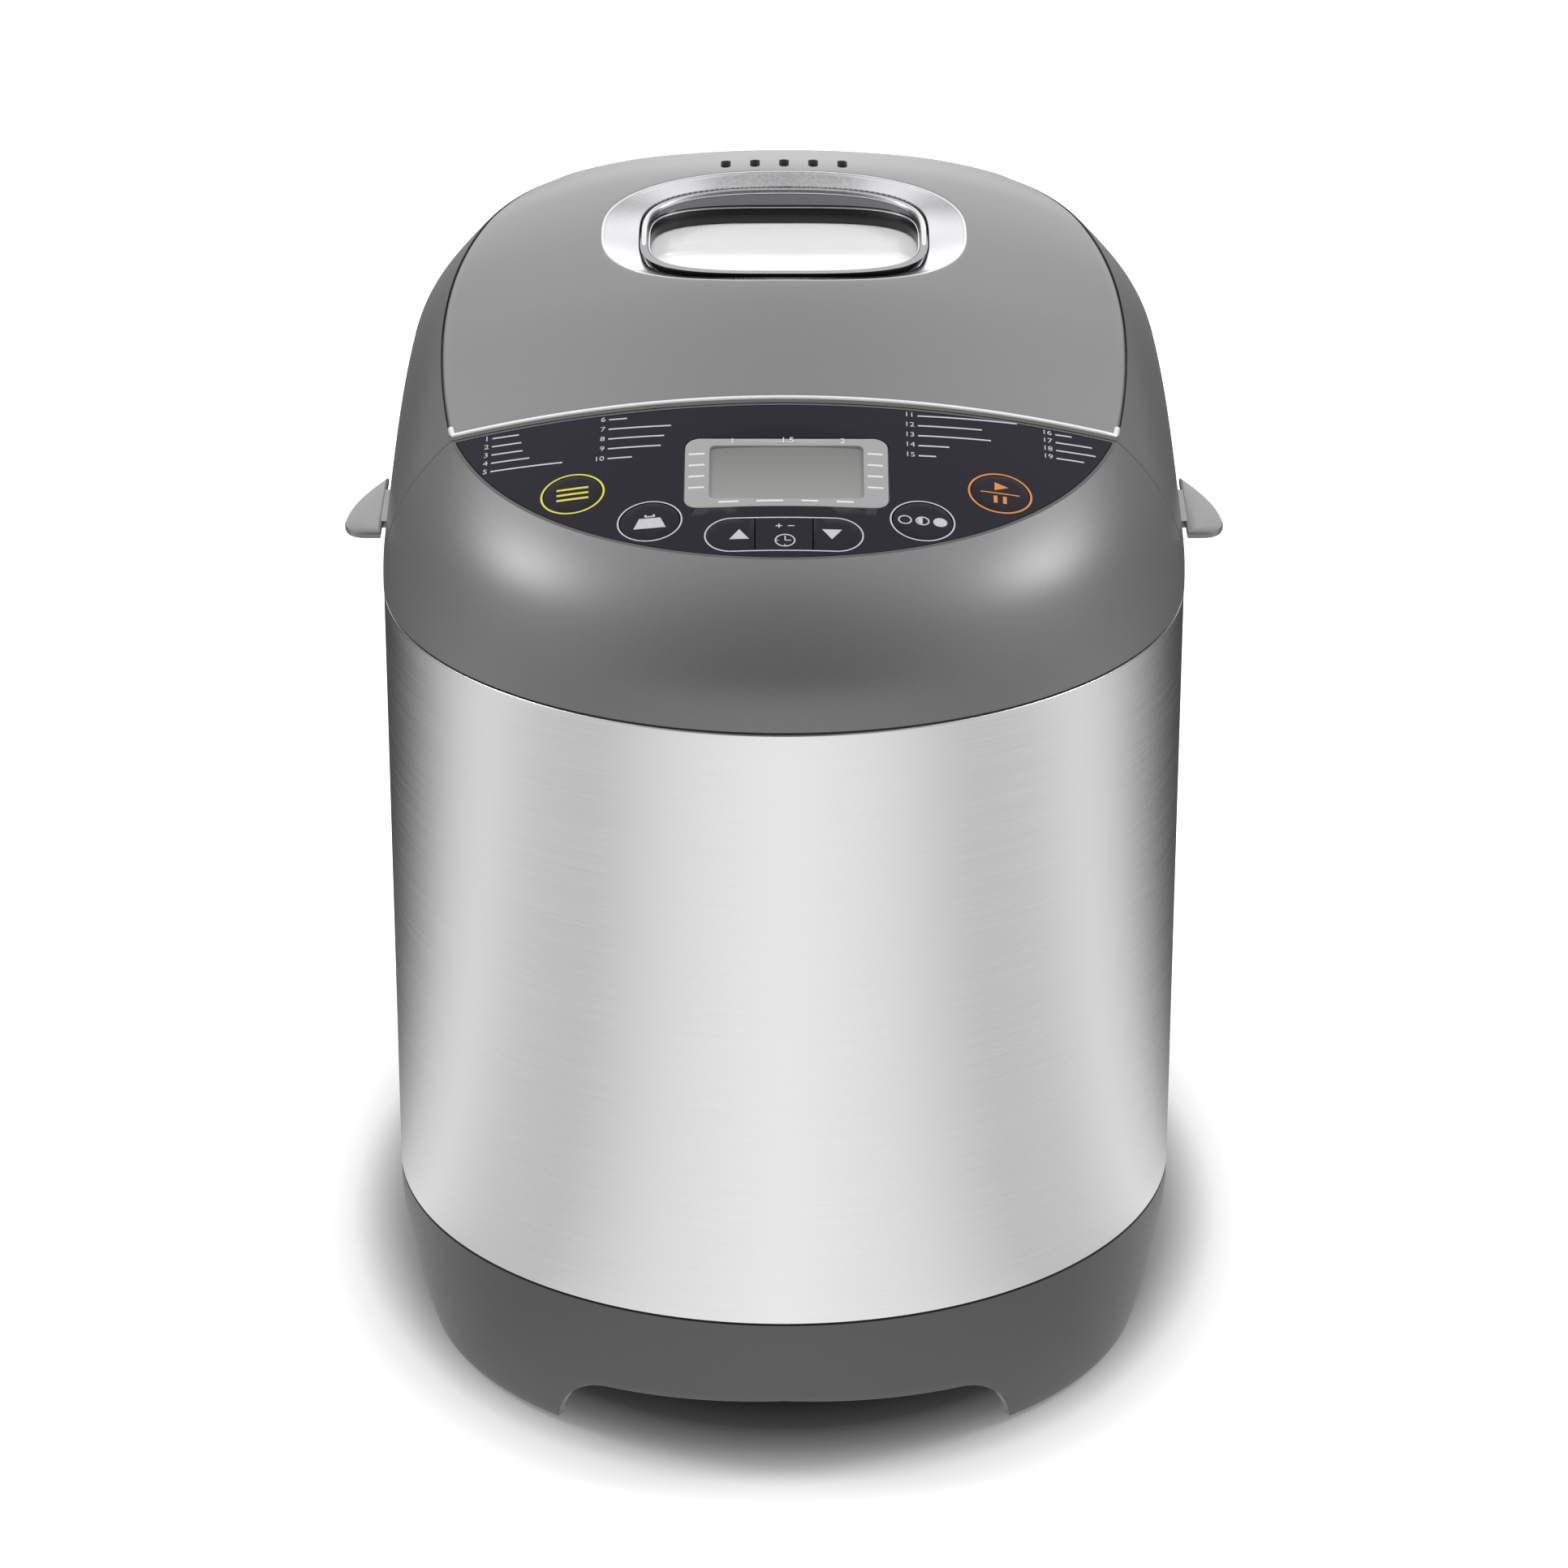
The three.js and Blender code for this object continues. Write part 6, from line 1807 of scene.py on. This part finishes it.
def make_liner():
    def dome(distance):
        return rounded_rect(0, oven_y - 9, 82 - distance, 64 - distance, 30 - distance, 14)

    def between(distance, share):
        return blend(oven_rect(distance), dome(distance), share)

    def wall_rows(distance, foot, top):
        bend = [(-2.5, 0), (-0.7, 0.7), (0, 2.5)]
        rows = [at_height(oven_rect(distance + d), foot + up) for d, up in bend]
        for share in steps_between(0.1, 0.86, 8):
            rows.append(at_height(between(distance, share), foot + 2.5 + (top - 5 - foot) * share))
        rows.append(at_height(between(distance + 0.8, 0.97), top - 1.6))
        rows.append(at_height(dome(distance + 3.2), top))
        return rows

    under = wall_rows(sheet_wall, liner_bottom, liner_top - sheet_wall)
    over = wall_rows(0, liner_bottom + sheet_wall, liner_top)
    right = [outer for outer, _ in rear_rows(lid_rear_y, lid_corner, steps_between(-66, 78, 20), 20)]
    edge = right + mirrored(right)
    edge = [(x, max(y, -66.2)) for x, y in inset(edge, 9.6)]
    edge = [p for i, p in enumerate(edge) if math.dist(p, edge[i - 1]) > 0.3]
    opening = window_loop(4)
    holes = [arc(sign * liner_screw_reach, liner_screw_y, 1.8, 0, 345, 23) for sign in (-1, 1)]
    parts = [turned_over(strips(under)), strips(over)]
    parts.append(turned_over(patch(edge, [oven_rect(sheet_wall - 2.5), *holes], flat(liner_bottom))))
    parts.append(patch(edge, [oven_rect(-2.5), *holes], flat(liner_bottom + sheet_wall)))
    parts.append(strips([at_height(edge, liner_bottom), at_height(edge, liner_bottom + sheet_wall)]))
    parts.append(turned_over(patch(dome(sheet_wall + 3.2), [opening], flat(liner_top - sheet_wall))))
    parts.append(patch(dome(3.2), [opening], flat(liner_top)))
    parts.append(hole_wall(opening, liner_top - sheet_wall, liner_top))
    parts += [hole_wall(hole, liner_bottom, liner_bottom + sheet_wall) for hole in holes]
    piece("liner_pressing", parts, "lid", "sheet_steel", ["lid_liner"])


def make_inner_pane():
    bottom, top = liner_top + seam, liner_top + 2.8
    levels = [(1.8, bottom), (1.5, bottom + 0.3), (1.5, top - 0.3), (1.8, top)]
    glass = [strips(profile_rows(window_loop, levels))]
    glass.append(patch(window_loop(1.8), [], flat(top)))
    glass.append(turned_over(patch(window_loop(1.8), [], flat(bottom))))
    piece("inner_pane", glass, "lid", "glass", ["inner_glass"])


def make_seal():
    bead = [(-4.25, 257.6), (-5.9, 257.75), (-6.5, 258.3), (-6.5, 259.6), (-2, 259.6), (-2, 258.3)]
    bead += [(-2.6, 257.75), (-4.25, 257.6)]
    piece("lid_seal_bead", [strips(profile_rows(oven_rect, bead))], "lid", "silicone", ["lid_seal"])


def cross(size, arm):
    """Outline of a driver's cross recess."""
    quarter = [(size, -arm), (size, arm), (arm, arm)]
    loop = []
    for k in range(4):
        c, s = round(math.cos(k * math.pi / 2)), round(math.sin(k * math.pi / 2))
        loop += [(x * c - y * s, x * s + y * c) for x, y in quarter]
    return loop


def screw_parts(place, radius, head, reach):
    """A pan-head screw; place(u, v, depth) gives a point, depth measured from its top."""
    recess = cross(radius * 0.62, radius * 0.16)
    flat_radius = radius * 0.72
    recess_foot = head * 0.8

    def ring(r):
        return arc(0, 0, r, 0, 345, 23)

    def walls(loops, depths):
        return strips([[place(u, v, depth) for u, v in loop] for loop, depth in zip(loops, depths)])

    def face(outline, holes, depth):
        return patch(outline, holes, lambda u, v: place(u, v, depth))

    stem = ring(1.5)
    crest = [ring(flat_radius), ring(radius * 0.93), ring(radius)]
    return [
        walls(crest, (0.0, head * 0.3, head)),
        walls([stem, stem], (head, reach)),
        face(ring(flat_radius), [recess], 0),
        face(recess, [], recess_foot),
        walls([recess, recess], (0, recess_foot)),
        face(ring(radius), [stem], head),
        face(stem, [], reach),
    ]


def make_screws():
    for side, sign in (("left", -1), ("right", 1)):

        def under_lid(u, v, depth, x=sign * liner_screw_reach):
            return (x + u, liner_screw_y + v, liner_screw_top + depth)

        def at_rear(u, v, depth, x=sign * cover_screw_reach):
            return (x + u, rear_y - 0.2 - depth, cover_screw_height + v)

        for name, place, reach, body, node in (
            ("liner_screw_", under_lid, 8.5, "lid", "lid_screw_"),
            ("cover_screw_", at_rear, 9.5, "machine", "rear_screw_"),
        ):
            piece(
                name + side,
                screw_parts(place, 3, 1.4, reach),
                body,
                "turned_steel",
                [node + side],
                outward=True,
            )


# ---------- rear ----------
cover_middle = 147.05
cover_half_height = 94.95
cover_wall = 2.5
inlet_height = 72


def make_rear():
    outline = rounded_rect(0, cover_middle, cover_half_width, cover_half_height, 0.8, 4)
    slots = [rounded_rect(0, 122 + 11 * k, 30, 2, 2, 8) for k in range(7)]
    inlet = arc(0, inlet_height, 8.3, 0, 354, 59)
    recesses = [arc(sign * cover_screw_reach, cover_screw_height, 3.3, 0, 345, 23) for sign in (-1, 1)]
    openings = [*slots, inlet, *recesses]

    def at_depth(y):
        return lambda x, z: (x, y, z)

    parts = [patch(inset(outline, 0.5), [inset(o, -0.3) for o in openings], at_depth(rear_y))]
    parts.append(patch(outline, openings, at_depth(rear_y - cover_wall)))
    edge = [(0, rear_y - cover_wall), (0, rear_y - 0.5), (0.15, rear_y - 0.15), (0.5, rear_y)]
    parts.append(strips([[(x, y, z) for x, z in inset(outline, d)] for d, y in edge]))
    for opening in openings:
        edge = [(0, rear_y - cover_wall), (0, rear_y - 0.35), (-0.08, rear_y - 0.1), (-0.3, rear_y)]
        parts.append(strips([[(x, y, z) for x, z in inset(opening, d)] for d, y in edge]))
    piece("rear_moulding", parts, "machine", "dark_plastic", ["rear_cover"], outward=True, sharp=15)
    collar = [(3.5, 165), (11, 165), (11, 169.2), (8, 169.2), (8, 171.3), (7.6, 171.7), (7.2, 171.8)]
    collar += [(5.4, 171.8), (4.4, 171.4), (3.8, 170.4), (3.5, 169), (3.5, 165)]
    piece(
        "inlet_collar",
        [lathe_along_y(0, inlet_height, collar, 56)],
        "machine",
        "black_plastic",
        ["cord_inlet"],
        outward=True,
    )


make_oven()
make_heater()
make_probe()
make_seat_ring()
make_pan()
make_bail()
make_paddle()
make_liner()
make_inner_pane()
make_seal()
make_screws()
make_rear()


def soften_solids():
    """The working parts inside keep their solids, with their hard edges taken off."""
    shown = ["hinge_pin_left", "hinge_pin_right", "drive_coupling", "spindle", "spindle_bearing"]
    shown += ["pan_bushing", "pan_shaft", "pan_seal", "pan_coupling", "large_pulley", "motor_pulley"]
    for name in shown:
        round_edges(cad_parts[name], 0.3, 2, 50)


soften_solids()


# ---------- studio ----------
# How bright the floor, walls and ceiling look in gloss, from the front round to the rear.
floor_bands = [
    (0.0, 1.1),
    (0.13, 0.93),
    (0.24, 0.66),
    (0.33, 0.72),
    (0.43, 0.93),
    (0.5, 0.74),
    (0.57, 0.42),
    (0.65, 0.18),
    (0.72, 0.08),
    (0.84, 0.02),
    (0.93, 0.4),
    (1.0, 1.1),
]
wall_bands = [
    (0.0, 0.12),
    (0.1, 0.2),
    (0.2, 0.45),
    (0.34, 0.85),
    (0.47, 1.0),
    (0.57, 0.4),
    (0.66, 0.1),
    (0.77, 0.12),
    (0.84, 0.9),
    (0.88, 1.4),
    (0.94, 1.3),
    (1.0, 1.8),
]
ceiling_bands = [(0.0, 0.1), (0.25, 0.35), (0.45, 1.1), (0.8, 1.1), (0.93, 0.6), (1.0, 0.18)]
room_light = 0.4
lamps = [
    ("side_lamp_left", (-1.3, 0.05, 1.42), (0, -0.1, 0.22), 0.5, 7),
    ("side_lamp_right", (1.3, 0.05, 1.42), (0, -0.1, 0.22), 0.5, 7),
    ("top_lamp", (0, 0.15, 2.3), (0, 0.0, 0.2), 0.9, 13),
]


def stepped(tree, source, stops):
    """A brightness that follows a value through a few stops."""
    ramp = add_node(tree, "ShaderNodeValToRGB", {}, [("Fac", source)])
    made = ramp.color_ramp.elements
    made.remove(made[0])
    for k, (place, value) in enumerate(stops):
        stop = made[0] if k == 0 else made.new(place)
        stop.position = place
        stop.color = (value, value, value, 1)
    return ramp.outputs["Color"]


def room_gloss(tree, direction, bands):
    """Brightness of the room in gloss, by the direction round the machine."""
    split = add_node(tree, "ShaderNodeSeparateXYZ", {}, [("Vector", direction)])
    turn = add_node(
        tree,
        "ShaderNodeMath",
        {"operation": "ARCTAN2"},
        [(0, split.outputs["X"]), (1, split.outputs["Y"])],
    )
    share = add_node(tree, "ShaderNodeMath", {"operation": "ABSOLUTE"}, [(0, turn.outputs["Value"])])
    angle = add_node(
        tree,
        "ShaderNodeMapRange",
        {"From Min": 0.0, "From Max": math.pi, "To Min": 1.0, "To Max": 0.0},
        [("Value", share.outputs["Value"])],
    )
    return stepped(tree, angle.outputs["Result"], bands)


# The paper's colour is darkened under the machine and close round it, as a painted shadow, and its lift
# to white is held back there. Its stops run from under the machine (0) to open floor (1), over a reach
# counted in ovals round the footprint. Metres.
footprint_half_width = 0.132
footprint_half_depth = 0.169
footprint_reach = (0.7, 1.4)
painted_shadow_stops = [(0.0, 0.02), (0.1, 0.06), (0.2, 0.2), (0.34, 0.42), (0.5, 0.75), (0.7, 0.88)]
glow_stops = [(0.0, 0.0), (0.22, 0.02), (0.32, 0.1), (0.4, 0.22), (0.5, 0.42), (0.6, 0.5), (1.0, 0.95)]


def white_paper_floor():
    # A sheet of white paper: it keeps the machine's shadow and runs out to pure white. Round the machine
    # its colour is darkened further as a painted shadow.
    paper = bpy.data.materials.new("white_paper_floor")
    paper.use_nodes = True
    tree = paper.node_tree
    tree.nodes.clear()
    seen = add_node(tree, "ShaderNodeLightPath", {})
    place = add_node(tree, "ShaderNodeTexCoord", {})
    share = add_node(
        tree,
        "ShaderNodeVectorMath",
        {"operation": "MULTIPLY", 1: (1 / footprint_half_width, 1 / footprint_half_depth, 0)},
        [(0, place.outputs["Object"])],
    )
    reach = add_node(
        tree, "ShaderNodeVectorMath", {"operation": "LENGTH"}, [(0, share.outputs["Vector"])]
    )
    out = add_node(
        tree,
        "ShaderNodeMapRange",
        {1: footprint_reach[0], 2: footprint_reach[1], 3: 0.0, 4: 1.0},
        [(0, reach.outputs["Value"])],
    )
    either = add_node(
        tree,
        "ShaderNodeMath",
        {"operation": "MAXIMUM"},
        [(0, seen.outputs["Is Camera Ray"]), (1, seen.outputs["Is Transmission Ray"])],
    )
    lift = add_node(
        tree,
        "ShaderNodeMath",
        {"operation": "MULTIPLY"},
        [(0, either.outputs["Value"]), (1, stepped(tree, out.outputs["Result"], glow_stops))],
    )
    glow = add_node(
        tree, "ShaderNodeEmission", {"Color": linear("#ffffff")}, [("Strength", lift.outputs["Value"])]
    )
    # Painted shadow: the paper's colour darkens under and close round the machine.
    diffuse = add_node(
        tree, "ShaderNodeBsdfDiffuse", {}, [("Color", stepped(tree, out.outputs["Result"], painted_shadow_stops))]
    )
    lit = add_node(
        tree, "ShaderNodeAddShader", {}, [(0, glow.outputs["Emission"]), (1, diffuse.outputs["BSDF"])]
    )
    gloss = add_node(
        tree,
        "ShaderNodeEmission",
        {"Color": linear("#ffffff")},
        [("Strength", room_gloss(tree, place.outputs["Object"], floor_bands))],
    )
    whole = add_node(
        tree,
        "ShaderNodeMixShader",
        {},
        [
            (0, seen.outputs["Is Glossy Ray"]),
            (1, lit.outputs["Shader"]),
            (2, gloss.outputs["Emission"]),
        ],
    )
    add_node(tree, "ShaderNodeOutputMaterial", {}, [("Surface", whole.outputs["Shader"])])
    return paper


def make_studio():
    mesh = bpy.data.meshes.new("studio_floor")
    corners = [(-14, -14, 0), (14, -14, 0), (14, 14, 0), (-14, 14, 0)]
    mesh.from_pydata(corners, [], [(0, 1, 2, 3)])
    mesh.materials.append(white_paper_floor())
    floor = bpy.data.objects.new("studio_floor", mesh)
    scene.collection.objects.link(floor)

    world = bpy.data.worlds.new("studio_room")
    scene.world = world
    world.use_nodes = True
    tree = world.node_tree
    tree.nodes.clear()
    seen = add_node(tree, "ShaderNodeLightPath", {})
    place = add_node(tree, "ShaderNodeTexCoord", {})
    plain = add_node(
        tree,
        "ShaderNodeMapRange",
        {"To Min": 1.0, "To Max": room_light},
        [("Value", seen.outputs["Is Diffuse Ray"])],
    )
    split = add_node(tree, "ShaderNodeSeparateXYZ", {}, [("Vector", place.outputs["Generated"])])
    rise = add_node(
        tree,
        "ShaderNodeMapRange",
        {"interpolation_type": "SMOOTHSTEP", 1: 0.42, 2: 0.72, 3: 0.0, 4: 1.0},
        [(0, split.outputs["Z"])],
    )
    room = add_node(
        tree,
        "ShaderNodeMix",
        {"data_type": "FLOAT"},
        [
            (0, rise.outputs["Result"]),
            (2, room_gloss(tree, place.outputs["Generated"], wall_bands)),
            (3, room_gloss(tree, place.outputs["Generated"], ceiling_bands)),
        ],
    )
    shown = add_node(
        tree,
        "ShaderNodeMix",
        {"data_type": "FLOAT"},
        [
            (0, seen.outputs["Is Glossy Ray"]),
            (2, plain.outputs["Result"]),
            (3, room.outputs[0]),
        ],
    )
    sky = add_node(
        tree, "ShaderNodeBackground", {"Color": linear("#ffffff")}, [("Strength", shown.outputs[0])]
    )
    add_node(tree, "ShaderNodeOutputWorld", {}, [("Surface", sky.outputs["Background"])])

    for name, spot, aim, size, power in lamps:
        light = bpy.data.lights.new(name, "AREA")
        light.shape = "DISK"
        light.size = size
        light.energy = power
        lamp = bpy.data.objects.new(name, light)
        lamp.location = spot
        lamp.rotation_euler = (Vector(aim) - Vector(spot)).to_track_quat("-Z", "Y").to_euler()
        lamp.visible_glossy = name != "top_lamp"
        scene.collection.objects.link(lamp)


make_studio()

# ---------- camera ----------
camera_elevation = math.radians(25.5)
camera_distance = 1.80009
camera_target = Vector((0, -0.062, 0.1746))
camera_data = bpy.data.cameras.new("camera")
camera_data.sensor_width = 36
camera_data.lens = 137.8
camera_data.clip_end = 60
camera = bpy.data.objects.new("camera", camera_data)
away = Vector((0, -math.cos(camera_elevation), math.sin(camera_elevation)))
camera.location = camera_target + away * camera_distance
camera.rotation_euler = (-away).to_track_quat("-Z", "Y").to_euler()
scene.collection.objects.link(camera)
scene.camera = camera
scene.view_settings.view_transform = "Standard"
